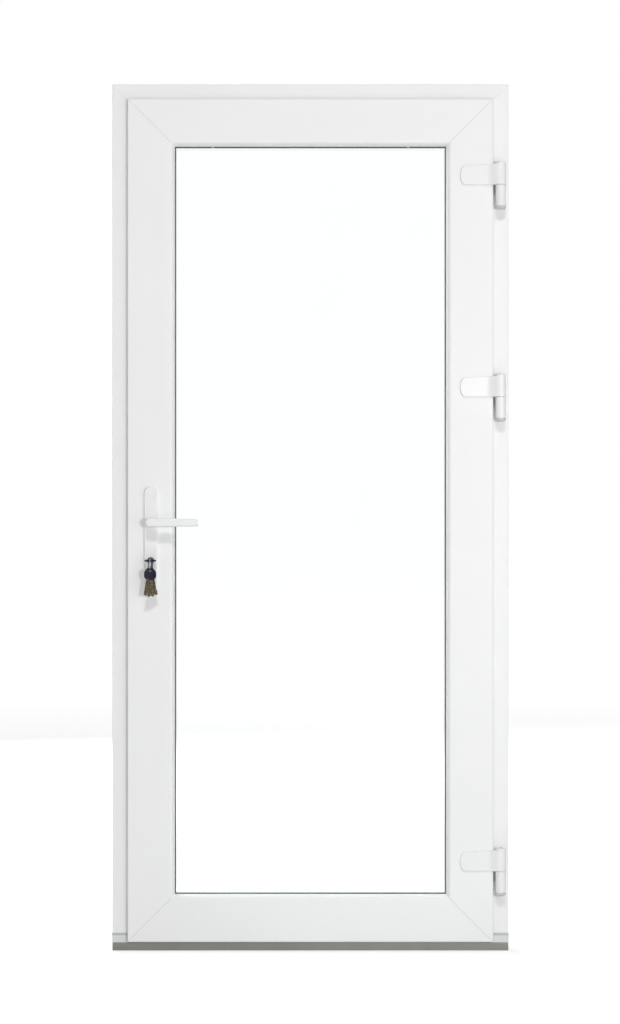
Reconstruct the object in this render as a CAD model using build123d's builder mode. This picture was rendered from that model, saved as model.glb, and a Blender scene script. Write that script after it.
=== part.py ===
from build123d import *
import os
from math import cos, radians, sin, sqrt

# A white plastic entrance door that opens outwards: a frame on a low aluminium threshold, and a leaf
# glazed over nearly its whole height. Millimetres. X runs to the right as seen from outside, -Y points
# outside and Z up. The origin is on the floor, in the middle of the threshold's underside.

os.makedirs("parts", exist_ok=True)

# Frame
FRAME_WIDTH = 960.0
FRAME_HEIGHT = 2100.0
FRAME_DEPTH = 70.0
FRAME_FLANGE = 46.0  # width of the frame profile beside the leaf
FRAME_SHOWN = 38.0  # width of frame left in sight beside the closed leaf
STOP_THICKNESS = 16.0
STOP_OVERLAP = 8.0  # width of stop behind the leaf
FRAME_ROUND = 2.0
WALL_GROOVE_WIDTH = 9.0
WALL_GROOVE_DEPTH = 3.0

# Gaps round the leaf
REBATE_GAP = 12.0
SEAL_GAP = 5.0
SEAL_CLEARANCE = 0.4

# Leaf profile
OVERLAP_THICKNESS = 16.0
MEMBER_WIDTH = 113.5
GLAZING_REBATE = 18.5
LEG_THICKNESS = 20.0
SLOPE_WIDTH = 6.5
SLOPE_DEPTH = 13.0
SLOPE_ROUND = 9.0
LEAF_ROUND = 2.5
LEAF_BOTTOM = 24.0
WELD_GROOVE = 0.6  # depth of the groove along each mitre

# Glass
PANE_THICKNESS = 4.0
PANE_SPACE = 16.0
GLASS_EDGE_GAP = 5.0
SPACER_WIDTH = 12.0
OUTER_GASKET_THICKNESS = 4.5
INNER_GASKET_THICKNESS = 3.0
GASKET_LIP = 3.0
INNER_GASKET_LIP = 1.0
GASKET_LIP_SLOPE = 2.0
GASKET_WIDTH = 10.5
BEAD_WIDTH = 16.0
BEAD_SLOPE = 7.0
BEAD_FACE = 6.0
BEAD_ROUND = 3.0

# Grooves for seals and fittings
SEAL_GROOVE_WIDTH = 4.0
SEAL_GROOVE_DEPTH = 4.0
SEAL_BULB_SIDE = 1.0
FITTING_GROOVE_WIDTH = 16.0
FITTING_GROOVE_DEPTH = 3.0
BRUSH_WIDTH = 5.0

# Threshold
THRESHOLD_HEIGHT = 20.0
THRESHOLD_INSIDE_HEIGHT = 13.0
RIB_WIDTH = 7.0
END_PLATE_THICKNESS = 1.5
TREAD_GROOVES = 7
TREAD_GROOVE_WIDTH = 2.0
TREAD_GROOVE_DEPTH = 0.8
CHANNEL_WIDTH = 18.0
CHANNEL_HEIGHT = 5.0
CHANNEL_SPACING = 32.0
CONNECTOR_HEIGHT = 23.0
CONNECTOR_PROUD = 0.8

# Hinges
HINGE_AXIS_OUT = 4.5  # hinge axis in front of the leaf's face
BARREL_RADIUS = 12.5
BARREL_GAP = 5.0  # free space between a barrel and the leaf's edge
LOWER_HINGE_RISE = 172.0  # from the leaf's bottom to the joint between the two barrels
UPPER_HINGE_DROP = 209.0  # from the leaf's top
HINGE_SPACING = 512.0  # from the upper hinge down to the middle one
UPPER_BARREL_LENGTH = 56.0
LOWER_BARREL_LENGTH = 58.0
BARREL_DOME = 4.0
BARREL_CAP_LENGTH = 8.0
BARREL_CAP_CHAMFER = 2.5
BARREL_RING_WIDTH = 0.8
SPLIT_GAP = 1.0
PIN_RADIUS = 5.0
PIN_CLEARANCE = 0.2
PIN_LENGTH = 38.0
ARM_LENGTH = 98.0
ARM_HEIGHT = 46.0
ARM_RISE = 5.0  # by which the arm grows higher towards its barrel
ARM_BULGE = 8.0
ARM_CORNER = 5.0
ARM_THICKNESS = 7.0
ARM_EDGE = 1.5
ARM_RAMP = 15.0  # length over which the arm climbs to its barrel
BRACKET_WIDTH = 20.0
BRACKET_HEIGHT = 44.0
BRACKET_DROP = 2.0  # from the barrel's upper end to the bracket's
BRACKET_PLATE_WIDTH = 25.0
BRACKET_PLATE_MARGIN = 2.0
BRACKET_PLATE_THICKNESS = 3.0

# Handle
BACKSET = 37.0  # from the leaf's rebate face to the spindle
SPINDLE_HEIGHT = 1038.0
CYLINDER_SPACING = 92.0  # from the spindle down to the lock cylinder
PLATE_WIDTH = 33.0
PLATE_TOP = 87.0
PLATE_BOTTOM = 158.0
PLATE_THICKNESS = 9.0
LEVER_NECK_RADIUS = 11.5
LEVER_WAIST_RADIUS = 9.5
NECK_FOOT_HEIGHT = 3.0
NECK_ROUND = 5.0
NECK_INSET = 0.4  # neck's end behind the grip's outer face
JOURNAL_RADIUS = 8.0
JOURNAL_CLEARANCE = 0.3
JOURNAL_LENGTH = 6.0
LEVER_GAP = 0.6
LEVER_REACH = 47.0  # from the plate to the outside of the grip
LEVER_LENGTH = 115.5
GRIP_HEIGHT = 21.5
GRIP_TIP_HEIGHT = 19.0
GRIP_THICKNESS = 14.0
GRIP_TIP_THICKNESS = 11.0
GRIP_ROUND = 4.5
GRIP_TIP_ROUND = 1.5
SPINDLE_SIZE = 8.0
SPINDLE_HOLE_RADIUS = 10.0

# Lock
CYLINDER_RADIUS = 8.5
CYLINDER_WEB = 10.0
CYLINDER_DROP = 24.5  # from the cylinder's axis to its lowest edge
CYLINDER_PROUD = 2.5
CYLINDER_CLEARANCE = 0.5
PLUG_RADIUS = 6.5
PLUG_CLEARANCE = 0.2
PLUG_PROUD = 0.5
PLUG_LENGTH = 38.0
LATCH_RISE = 28.0
DEADBOLT_DROP = 62.0
LATCH_HEIGHT = 20.0
DEADBOLT_HEIGHT = 32.0
BOLT_THICKNESS = 10.0
BOLT_LENGTH = 22.0
BOLT_CLEARANCE = 0.5
BOLT_PROUD = 1.0
FACEPLATE_REACH = 750.0  # above and below the spindle
FACEPLATE_SCREW_RADIUS = 2.1
FACEPLATE_SCREWS = 6
FACEPLATE_SCREW_INSET = 150.0  # from each end of the faceplate to its first screw
POINT_INSET = 140.0  # from each end of the faceplate to the locking point near it
POINT_HEIGHT = 24.0
KEEP_WIDTH = 24.0
KEEP_THICKNESS = 3.0
KEEP_MARGIN = 18.0
KEEP_CORNER = 4.0
KEEP_SCREW_RADIUS = 2.2
KEEP_SCREW_HEAD_RADIUS = 4.2
KEEP_SCREW_INSET = 8.0
POCKET_CLEARANCE = 3.0
POCKET_DEPTH = 15.0

# Keys
KEY_CUTS = 5
KEY_CUT_PITCH = 5.0
KEY_CUT_DEPTH = 2.0
KEY_TIP = 3.0
BOW_CORNER = 3.5
BOW_SHOULDER = 0.45  # widest place of a bow, as a share of its length
BOW_FOOT = 0.75  # width of a bow where the blade leaves it, as a share of its width
KEY_BLADE_WIDTH = 8.5
KEY_BLADE_THICKNESS = 2.2
KEY_BLADE_LENGTH = 30.0
KEY_SHOULDER = 3.0
BOW_WIDTH = 29.0
BOW_LENGTH = 28.0
BOW_THICKNESS = 4.4
BOW_WEB = 4.0
BOW_HOLE_LENGTH = 11.0
BOW_HOLE_WIDTH = 6.0
RING_RADIUS = 13.5
RING_WIRE_RADIUS = 0.9
RING_CLEARANCE = 0.7
HANGING_KEYS = 4
HANGING_BOW_WIDTH = 26.0
HANGING_BOW_LENGTH = 27.0
HANGING_BOW_THICKNESS = 4.0
HANGING_KEY_PITCH = 4.9
HANGING_HOLE_RADIUS = 4.0
HANGING_HOLE_SAG = 1.2  # hole's centre below the ring's wire
HANGING_HOLE_INSET = 5.5
HANGING_BLADE_LENGTH = 41.0
FAN_STEP = 8.0
FAN_START = -10.0

# Screw holes through the jambs
JAMB_SCREW_RADIUS = 3.75
JAMB_SCREWS = 4
JAMB_SCREW_RISE = 250.0  # lowest screw above the floor
JAMB_SCREW_DROP = 200.0  # highest screw below the frame's top
JAMB_SCREW_DEPTH = -26.0  # place of the screws in the depth of the frame

# Places that follow from these sizes
FRAME_FRONT = -FRAME_DEPTH / 2
FRAME_BACK = FRAME_DEPTH / 2
STOP_FRONT = FRAME_BACK - STOP_THICKNESS
LEAF_BACK = STOP_FRONT - SEAL_GAP
OVERLAP_BACK = FRAME_FRONT - SEAL_GAP
LEAF_FRONT = OVERLAP_BACK - OVERLAP_THICKNESS
OVERLAP_WIDTH = FRAME_FLANGE + REBATE_GAP - FRAME_SHOWN
STOP_EDGE = FRAME_FLANGE + REBATE_GAP + STOP_OVERLAP
LEAF_HALF_WIDTH = FRAME_WIDTH / 2 - FRAME_SHOWN
LEAF_TOP = FRAME_HEIGHT - FRAME_SHOWN
LEG_BACK = LEAF_FRONT + LEG_THICKNESS
REBATE_FLOOR = MEMBER_WIDTH - GLAZING_REBATE
GLASS_EDGE = REBATE_FLOOR + GLASS_EDGE_GAP
OUTER_PANE_FRONT = LEG_BACK + OUTER_GASKET_THICKNESS
INNER_PANE_FRONT = OUTER_PANE_FRONT + PANE_THICKNESS + PANE_SPACE
INNER_PANE_BACK = INNER_PANE_FRONT + PANE_THICKNESS
BEAD_FRONT = INNER_PANE_BACK + INNER_GASKET_THICKNESS
FITTING_MIDDLE = (OVERLAP_BACK + LEAF_BACK) / 2
FOOT_TOP = THRESHOLD_HEIGHT + CONNECTOR_HEIGHT
RIB_TOP = LEAF_BOTTOM + OVERLAP_WIDTH - REBATE_GAP
HINGE_SPLIT_HEIGHTS = {
    "lower": LEAF_BOTTOM + LOWER_HINGE_RISE,
    "middle": LEAF_TOP - UPPER_HINGE_DROP - HINGE_SPACING,
    "upper": LEAF_TOP - UPPER_HINGE_DROP,
}
HINGE_X = LEAF_HALF_WIDTH + BARREL_GAP + BARREL_RADIUS
HINGE_Y = LEAF_FRONT - HINGE_AXIS_OUT
LOCK_REBATE_X = -LEAF_HALF_WIDTH + OVERLAP_WIDTH
HANDLE_X = LOCK_REBATE_X + BACKSET
CYLINDER_HEIGHT = SPINDLE_HEIGHT - CYLINDER_SPACING
PLATE_FACE = LEAF_FRONT - PLATE_THICKNESS
LATCH_LEVEL = SPINDLE_HEIGHT + LATCH_RISE
DEADBOLT_LEVEL = SPINDLE_HEIGHT - DEADBOLT_DROP
FACEPLATE_SCREW_SPACING = 2 * (FACEPLATE_REACH - FACEPLATE_SCREW_INSET) / (FACEPLATE_SCREWS - 1)
POINT_SPACING = FACEPLATE_REACH - POINT_INSET
POINT_LEVELS = {"lower": SPINDLE_HEIGHT - POINT_SPACING, "upper": SPINDLE_HEIGHT + POINT_SPACING}
JAMB_SCREW_STEP = (FRAME_HEIGHT - JAMB_SCREW_DROP - JAMB_SCREW_RISE) / (JAMB_SCREWS - 1)
LEAF_MIDDLE_PLANE = Plane.XZ.offset(-(LEAF_FRONT + LEAF_BACK) / 2)


def upright(y):
    """Plane across the door at depth y: local x to the right, local y up, normal to the outside."""
    return Plane.XZ.offset(-y)


def side_line(side, half_width, bottom, top):
    """Start, inward direction, running direction and length of one side of an upright rectangle."""
    right = Vector(1, 0, 0)
    up = Vector(0, 0, 1)
    return {
        "lock_side": (Vector(-half_width, 0, bottom), right, up, top - bottom),
        "top": (Vector(-half_width, 0, top), -up, right, 2 * half_width),
        "hinge_side": (Vector(half_width, 0, top), -right, -up, top - bottom),
        "bottom": (Vector(half_width, 0, bottom), up, -right, 2 * half_width),
    }[side]


def mitred_bar(line, outline, rounds=(), mitres=(True, True), weld_at=()):
    """A straight profile along one side of a rectangle, cut at 45 degrees where mitres says so.

    The outline's points are (distance inward from the rectangle's edge, depth y). A weld groove
    runs along each mitre in the faces at the depths weld_at.
    """
    start, inward, run, length = line
    with BuildPart() as bar:
        with BuildSketch(Plane(origin=start, x_dir=inward, z_dir=run)) as section:
            with BuildLine():
                Polyline(*outline, close=True)
            make_face()
            for across, depth, radius in rounds:
                corner = section.vertices().sort_by_distance(Vector(across, depth))[0]
                fillet(corner, radius)
        extrude(amount=length)
        ends = [(start, run)] if mitres[0] else []
        if mitres[1]:
            ends.append((start + run * length, -run))
        for corner, along in ends:
            split(bisect_by=Plane(origin=corner, z_dir=along - inward), keep=Keep.TOP)
            for depth in weld_at:
                face_corner = corner + Vector(0, depth, 0)
                with BuildSketch(Plane(origin=face_corner, x_dir=(0, 1, 0), z_dir=along + inward)):
                    RegularPolygon(WELD_GROOVE, 4)
                extrude(amount=length / 2, mode=Mode.SUBTRACT)
    return bar.part


def write(builder, name):
    """Label one finished piece and write it."""
    builder.part.label = name
    export_step(builder.part, f"parts/{name}.step")


# The frame: two jambs and a head of one profile, with a stop along the inside
def frame_outline():
    """Frame profile from its outer edge inward, with the seal's groove in the stop."""
    groove = STOP_EDGE - (STOP_OVERLAP - SEAL_GROOVE_WIDTH) / 2
    fitting = FITTING_MIDDLE + FITTING_GROOVE_WIDTH / 2
    return [
        (0, FRAME_FRONT),
        (FRAME_FLANGE, FRAME_FRONT),
        (FRAME_FLANGE, fitting - FITTING_GROOVE_WIDTH),
        (FRAME_FLANGE - FITTING_GROOVE_DEPTH, fitting - FITTING_GROOVE_WIDTH),
        (FRAME_FLANGE - FITTING_GROOVE_DEPTH, fitting),
        (FRAME_FLANGE, fitting),
        (FRAME_FLANGE, STOP_FRONT),
        (groove - SEAL_GROOVE_WIDTH, STOP_FRONT),
        (groove - SEAL_GROOVE_WIDTH, STOP_FRONT + SEAL_GROOVE_DEPTH),
        (groove, STOP_FRONT + SEAL_GROOVE_DEPTH),
        (groove, STOP_FRONT),
        (STOP_EDGE, STOP_FRONT),
        (STOP_EDGE, FRAME_BACK),
        (0, FRAME_BACK),
        (0, WALL_GROOVE_WIDTH * 2),
        (WALL_GROOVE_DEPTH, WALL_GROOVE_WIDTH * 2),
        (WALL_GROOVE_DEPTH, WALL_GROOVE_WIDTH),
        (0, WALL_GROOVE_WIDTH),
        (0, -WALL_GROOVE_WIDTH),
        (WALL_GROOVE_DEPTH, -WALL_GROOVE_WIDTH),
        (WALL_GROOVE_DEPTH, -WALL_GROOVE_WIDTH * 2),
        (0, -WALL_GROOVE_WIDTH * 2),
    ]


FRAME_ROUNDS = [
    (0, FRAME_FRONT, FRAME_ROUND),
    (FRAME_FLANGE, FRAME_FRONT, FRAME_ROUND),
    (STOP_EDGE, FRAME_BACK, FRAME_ROUND),
    (0, FRAME_BACK, FRAME_ROUND),
]


def frame_line(side):
    """One side of the frame's outer rectangle, from the top of the threshold connectors up."""
    return side_line(side, FRAME_WIDTH / 2, FOOT_TOP, FRAME_HEIGHT)


with BuildPart() as frame_head:
    add(mitred_bar(frame_line("top"), frame_outline(), FRAME_ROUNDS, weld_at=(FRAME_FRONT, FRAME_BACK)))
write(frame_head, "frame_head")

for side, mitres, outward in (("lock_side", (False, True), -1), ("hinge_side", (True, False), 1)):
    with BuildPart() as jamb:
        faces = (FRAME_FRONT, FRAME_BACK)
        add(mitred_bar(frame_line(side), frame_outline(), FRAME_ROUNDS, mitres, weld_at=faces))
        with BuildSketch(Plane.YZ.offset(outward * FRAME_WIDTH / 2)):
            for number in range(JAMB_SCREWS):
                with Locations((JAMB_SCREW_DEPTH, JAMB_SCREW_RISE + number * JAMB_SCREW_STEP)):
                    Circle(JAMB_SCREW_RADIUS)
        extrude(amount=-outward * FRAME_FLANGE, mode=Mode.SUBTRACT)
        if side == "lock_side":
            pockets = [(LATCH_LEVEL, LATCH_HEIGHT), (DEADBOLT_LEVEL, DEADBOLT_HEIGHT)]
            pockets += [(level, POINT_HEIGHT) for level in POINT_LEVELS.values()]
            with BuildSketch(Plane.YZ.offset(-FRAME_WIDTH / 2 + FRAME_FLANGE)):
                for level, height in pockets:
                    with Locations((FITTING_MIDDLE, level)):
                        Rectangle(BOLT_THICKNESS + 2 * POCKET_CLEARANCE, height + 2 * POCKET_CLEARANCE)
            extrude(amount=-POCKET_DEPTH, mode=Mode.SUBTRACT)
    write(jamb, f"frame_jamb_{side}")


# Seal on the stop, along jambs and head
def bulb_outline(middle, face, toward):
    """Seal with its foot in a groove of the face and its bulb standing out of it."""
    half = SEAL_GROOVE_WIDTH / 2
    bulb = SEAL_GAP - SEAL_CLEARANCE
    return [
        (middle - half, face - toward * SEAL_GROOVE_DEPTH),
        (middle + half, face - toward * SEAL_GROOVE_DEPTH),
        (middle + half, face),
        (middle + half + SEAL_BULB_SIDE, face + toward * bulb / 2),
        (middle + half - SEAL_BULB_SIDE / 2, face + toward * bulb),
        (middle - half + SEAL_BULB_SIDE / 2, face + toward * bulb),
        (middle - half - SEAL_BULB_SIDE, face + toward * bulb / 2),
        (middle - half, face),
    ]


STOP_SEAL_MIDDLE = STOP_EDGE - STOP_OVERLAP / 2
with BuildPart() as frame_seal:
    stop_seal = bulb_outline(STOP_SEAL_MIDDLE, STOP_FRONT, -1)
    add(mitred_bar(frame_line("lock_side"), stop_seal, mitres=(False, True)))
    add(mitred_bar(frame_line("top"), stop_seal))
    add(mitred_bar(frame_line("hinge_side"), stop_seal, mitres=(True, False)))
write(frame_seal, "frame_seal")

# Threshold: a low aluminium sill with a rib behind the leaf's overlap and a ribbed tread inside
SILL_HALF_LENGTH = FRAME_WIDTH / 2 - END_PLATE_THICKNESS


def sill_section(half_length):
    """Plane across the sill at its left end, for a profile of twice the given length."""
    return Plane.YZ.offset(-half_length)


def sill_outline():
    """Points of the plain sill, (depth y, height z)."""
    return [
        (FRAME_FRONT, 0),
        (FRAME_FRONT, THRESHOLD_HEIGHT),
        (FRAME_BACK, THRESHOLD_HEIGHT),
        (FRAME_BACK, 0),
    ]


with BuildPart() as threshold:
    with BuildSketch(sill_section(SILL_HALF_LENGTH)) as sill:
        with BuildLine():
            Polyline(*sill_outline(), close=True)
        make_face()
        fillet(sill.vertices().sort_by_distance(Vector(FRAME_FRONT, THRESHOLD_HEIGHT))[0], FRAME_ROUND)
        with Locations((-CHANNEL_SPACING / 2, 0), (CHANNEL_SPACING / 2, 0)):
            Rectangle(
                CHANNEL_WIDTH,
                CHANNEL_HEIGHT,
                align=(Align.CENTER, Align.MIN),
                mode=Mode.SUBTRACT,
            )
    extrude(amount=2 * SILL_HALF_LENGTH)
    between_stops = FRAME_WIDTH / 2 - STOP_EDGE
    slope = (THRESHOLD_HEIGHT - THRESHOLD_INSIDE_HEIGHT) / FRAME_BACK
    with BuildSketch(sill_section(between_stops)):
        with BuildLine():
            Polyline(
                (0, THRESHOLD_HEIGHT),
                (FRAME_BACK, THRESHOLD_HEIGHT),
                (FRAME_BACK, THRESHOLD_INSIDE_HEIGHT),
                close=True,
            )
        make_face()
        for number in range(TREAD_GROOVES):
            across = (number + 0.5) * FRAME_BACK / TREAD_GROOVES
            with Locations((across, THRESHOLD_HEIGHT - slope * across)):
                Rectangle(TREAD_GROOVE_WIDTH, 2 * TREAD_GROOVE_DEPTH)
    extrude(amount=2 * between_stops, mode=Mode.SUBTRACT)
    between_jambs = FRAME_WIDTH / 2 - FRAME_FLANGE
    with BuildSketch(sill_section(between_jambs)) as rib:
        with Locations((FRAME_FRONT, THRESHOLD_HEIGHT - FRAME_ROUND)):
            Rectangle(RIB_WIDTH, RIB_TOP - THRESHOLD_HEIGHT + FRAME_ROUND, align=(Align.MIN, Align.MIN))
        fillet(rib.vertices().group_by(Axis.Y)[-1], FRAME_ROUND)
    extrude(amount=2 * between_jambs)
write(threshold, "threshold")

for side, outward in (("lock_side", -1), ("hinge_side", 1)):
    with BuildPart() as end_plate:
        with BuildSketch(Plane.YZ.offset(outward * SILL_HALF_LENGTH)) as end_face:
            with BuildLine():
                Polyline(*sill_outline(), close=True)
            make_face()
            fillet(end_face.vertices().group_by(Axis.Y)[-1], FRAME_ROUND)
        extrude(amount=outward * END_PLATE_THICKNESS)
    write(end_plate, f"threshold_end_plate_{side}")

# Plastic connectors that carry the jambs on the threshold's ends
for side, outward in (("lock_side", -1), ("hinge_side", 1)):
    with BuildPart() as connector:
        with BuildSketch(Plane.XY.offset(THRESHOLD_HEIGHT)):
            edge = outward * FRAME_WIDTH / 2
            with BuildLine():
                Polyline(
                    (edge, FRAME_FRONT),
                    (edge - outward * FRAME_FLANGE, FRAME_FRONT),
                    (edge - outward * FRAME_FLANGE, STOP_FRONT),
                    (edge - outward * STOP_EDGE, STOP_FRONT),
                    (edge - outward * STOP_EDGE, FRAME_BACK),
                    (edge, FRAME_BACK),
                    close=True,
                )
            make_face()
            with BuildLine():
                Polyline(
                    (edge + outward * CONNECTOR_PROUD, FRAME_FRONT - CONNECTOR_PROUD),
                    (edge - outward * (FRAME_SHOWN - SEAL_GAP), FRAME_FRONT - CONNECTOR_PROUD),
                    (edge - outward * (FRAME_SHOWN - SEAL_GAP), FRAME_FRONT),
                    (edge, FRAME_FRONT),
                    (edge, FRAME_BACK),
                    (edge + outward * CONNECTOR_PROUD, FRAME_BACK),
                    close=True,
                )
            make_face()
        extrude(amount=CONNECTOR_HEIGHT)
    write(connector, f"threshold_connector_{side}")


# The leaf: two stiles and two rails of one profile, mitred and welded
def leaf_outline():
    """Leaf profile from its outer edge inward: overlap, body, and the leg that holds the glass."""
    seal_near = (FRAME_FLANGE - FRAME_SHOWN - SEAL_GROOVE_WIDTH) / 2
    fitting = FITTING_MIDDLE + FITTING_GROOVE_WIDTH / 2
    return [
        (0, LEAF_FRONT),
        (MEMBER_WIDTH - SLOPE_WIDTH, LEAF_FRONT),
        (MEMBER_WIDTH, LEAF_FRONT + SLOPE_DEPTH),
        (MEMBER_WIDTH, LEG_BACK),
        (REBATE_FLOOR, LEG_BACK),
        (REBATE_FLOOR, LEAF_BACK),
        (OVERLAP_WIDTH, LEAF_BACK),
        (OVERLAP_WIDTH, fitting),
        (OVERLAP_WIDTH + FITTING_GROOVE_DEPTH, fitting),
        (OVERLAP_WIDTH + FITTING_GROOVE_DEPTH, fitting - FITTING_GROOVE_WIDTH),
        (OVERLAP_WIDTH, fitting - FITTING_GROOVE_WIDTH),
        (OVERLAP_WIDTH, OVERLAP_BACK),
        (seal_near + SEAL_GROOVE_WIDTH, OVERLAP_BACK),
        (seal_near + SEAL_GROOVE_WIDTH, OVERLAP_BACK - SEAL_GROOVE_DEPTH),
        (seal_near, OVERLAP_BACK - SEAL_GROOVE_DEPTH),
        (seal_near, OVERLAP_BACK),
        (0, OVERLAP_BACK),
    ]


LEAF_ROUNDS = [
    (0, LEAF_FRONT, LEAF_ROUND),
    (MEMBER_WIDTH - SLOPE_WIDTH, LEAF_FRONT, SLOPE_ROUND),
    (OVERLAP_WIDTH, LEAF_BACK, FRAME_ROUND),
]


def leaf_line(side):
    """One side of the leaf's outer rectangle."""
    return side_line(side, LEAF_HALF_WIDTH, LEAF_BOTTOM, LEAF_TOP)


PLAIN_MEMBERS = {
    "top": "leaf_rail_top",
    "bottom": "leaf_rail_bottom",
    "hinge_side": "leaf_stile_hinge_side",
}
for side, name in PLAIN_MEMBERS.items():
    with BuildPart() as member:
        add(mitred_bar(leaf_line(side), leaf_outline(), LEAF_ROUNDS, weld_at=(LEAF_FRONT, LEAF_BACK)))
    write(member, name)

with BuildPart() as lock_stile:
    add(mitred_bar(leaf_line("lock_side"), leaf_outline(), LEAF_ROUNDS, weld_at=(LEAF_FRONT, LEAF_BACK)))
    with BuildSketch(upright(LEAF_FRONT)):
        with Locations((HANDLE_X, SPINDLE_HEIGHT)):
            Circle(SPINDLE_HOLE_RADIUS)
        with Locations((HANDLE_X, CYLINDER_HEIGHT)):
            Circle(CYLINDER_RADIUS + CYLINDER_CLEARANCE)
        with Locations((HANDLE_X, CYLINDER_HEIGHT - CYLINDER_DROP / 2)):
            Rectangle(CYLINDER_WEB + 2 * CYLINDER_CLEARANCE, CYLINDER_DROP + 2 * CYLINDER_CLEARANCE)
    extrude(amount=LEAF_FRONT - LEAF_BACK, mode=Mode.SUBTRACT)
    with BuildSketch(Plane.YZ.offset(LOCK_REBATE_X)):
        bolts = [(LATCH_LEVEL, LATCH_HEIGHT), (DEADBOLT_LEVEL, DEADBOLT_HEIGHT)]
        bolts += [(level, POINT_HEIGHT) for level in POINT_LEVELS.values()]
        for level, height in bolts:
            with Locations((FITTING_MIDDLE, level)):
                Rectangle(BOLT_THICKNESS, height)
    extrude(amount=BOLT_LENGTH, mode=Mode.SUBTRACT)
write(lock_stile, "leaf_stile_lock_side")

# Seal round the back of the leaf's overlap
with BuildPart() as leaf_seal:
    overlap_seal = bulb_outline((FRAME_FLANGE - FRAME_SHOWN) / 2, OVERLAP_BACK, 1)
    for side in ("lock_side", "top", "hinge_side", "bottom"):
        add(mitred_bar(leaf_line(side), overlap_seal))
write(leaf_seal, "leaf_seal")

# Brush under the bottom rail, in its groove
with BuildPart() as bottom_brush:
    with BuildSketch(Plane.YZ.offset(-LEAF_HALF_WIDTH + OVERLAP_WIDTH + REBATE_GAP)):
        with Locations((FITTING_MIDDLE, LEAF_BOTTOM + OVERLAP_WIDTH + FITTING_GROOVE_DEPTH)):
            Rectangle(FITTING_GROOVE_WIDTH, FITTING_GROOVE_DEPTH, align=(Align.CENTER, Align.MAX))
            Rectangle(
                BRUSH_WIDTH,
                FITTING_GROOVE_DEPTH + REBATE_GAP - SEAL_CLEARANCE,
                align=(Align.CENTER, Align.MAX),
            )
    extrude(amount=2 * (LEAF_HALF_WIDTH - OVERLAP_WIDTH - REBATE_GAP))
write(bottom_brush, "bottom_brush")


# Glass, spacer, gaskets and beads
def leaf_ring(outer, inner, front, thickness):
    """A flat ring parallel to the leaf's edges, between two distances inward from them."""
    middle = (LEAF_BOTTOM + LEAF_TOP) / 2
    with BuildPart() as ring:
        with BuildSketch(upright(front)):
            with Locations((0, middle)):
                Rectangle(2 * (LEAF_HALF_WIDTH - outer), LEAF_TOP - LEAF_BOTTOM - 2 * outer)
                if inner:
                    Rectangle(
                        2 * (LEAF_HALF_WIDTH - inner),
                        LEAF_TOP - LEAF_BOTTOM - 2 * inner,
                        mode=Mode.SUBTRACT,
                    )
        extrude(amount=-thickness)
    return ring.part


for name, front in (("glass_outer_pane", OUTER_PANE_FRONT), ("glass_inner_pane", INNER_PANE_FRONT)):
    with BuildPart() as pane:
        add(leaf_ring(GLASS_EDGE, 0, front, PANE_THICKNESS))
    write(pane, name)

with BuildPart() as glass_spacer:
    add(leaf_ring(GLASS_EDGE, GLASS_EDGE + SPACER_WIDTH, OUTER_PANE_FRONT + PANE_THICKNESS, PANE_SPACE))
write(glass_spacer, "glass_spacer")

with BuildPart() as gasket_outer:
    seal_outer = MEMBER_WIDTH - GASKET_WIDTH
    add(leaf_ring(seal_outer, MEMBER_WIDTH + GASKET_LIP, LEG_BACK, OUTER_GASKET_THICKNESS))
    chamfer(gasket_outer.faces().sort_by(Axis.Y)[0].inner_wires()[0].edges(), GASKET_LIP_SLOPE)
write(gasket_outer, "gasket_outer")

with BuildPart() as gasket_inner:
    seal_outer = MEMBER_WIDTH - GASKET_WIDTH
    seal_inner = REBATE_FLOOR + BEAD_WIDTH + INNER_GASKET_LIP
    add(leaf_ring(seal_outer, seal_inner, INNER_PANE_BACK, INNER_GASKET_THICKNESS))
write(gasket_inner, "gasket_inner")

BEAD_OUTLINE = [
    (REBATE_FLOOR, BEAD_FRONT),
    (REBATE_FLOOR + BEAD_WIDTH, BEAD_FRONT),
    (REBATE_FLOOR + BEAD_WIDTH, BEAD_FRONT + BEAD_FACE),
    (REBATE_FLOOR + BEAD_WIDTH - BEAD_SLOPE, LEAF_BACK),
    (REBATE_FLOOR, LEAF_BACK),
]
BEAD_ROUNDS = [
    (REBATE_FLOOR + BEAD_WIDTH - BEAD_SLOPE, LEAF_BACK, BEAD_ROUND),
    (REBATE_FLOOR + BEAD_WIDTH, BEAD_FRONT + BEAD_FACE, BEAD_ROUND),
]
for side in ("lock_side", "top", "hinge_side", "bottom"):
    with BuildPart() as bead:
        add(mitred_bar(leaf_line(side), BEAD_OUTLINE, BEAD_ROUNDS))
    write(bead, f"bead_{side}")


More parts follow.
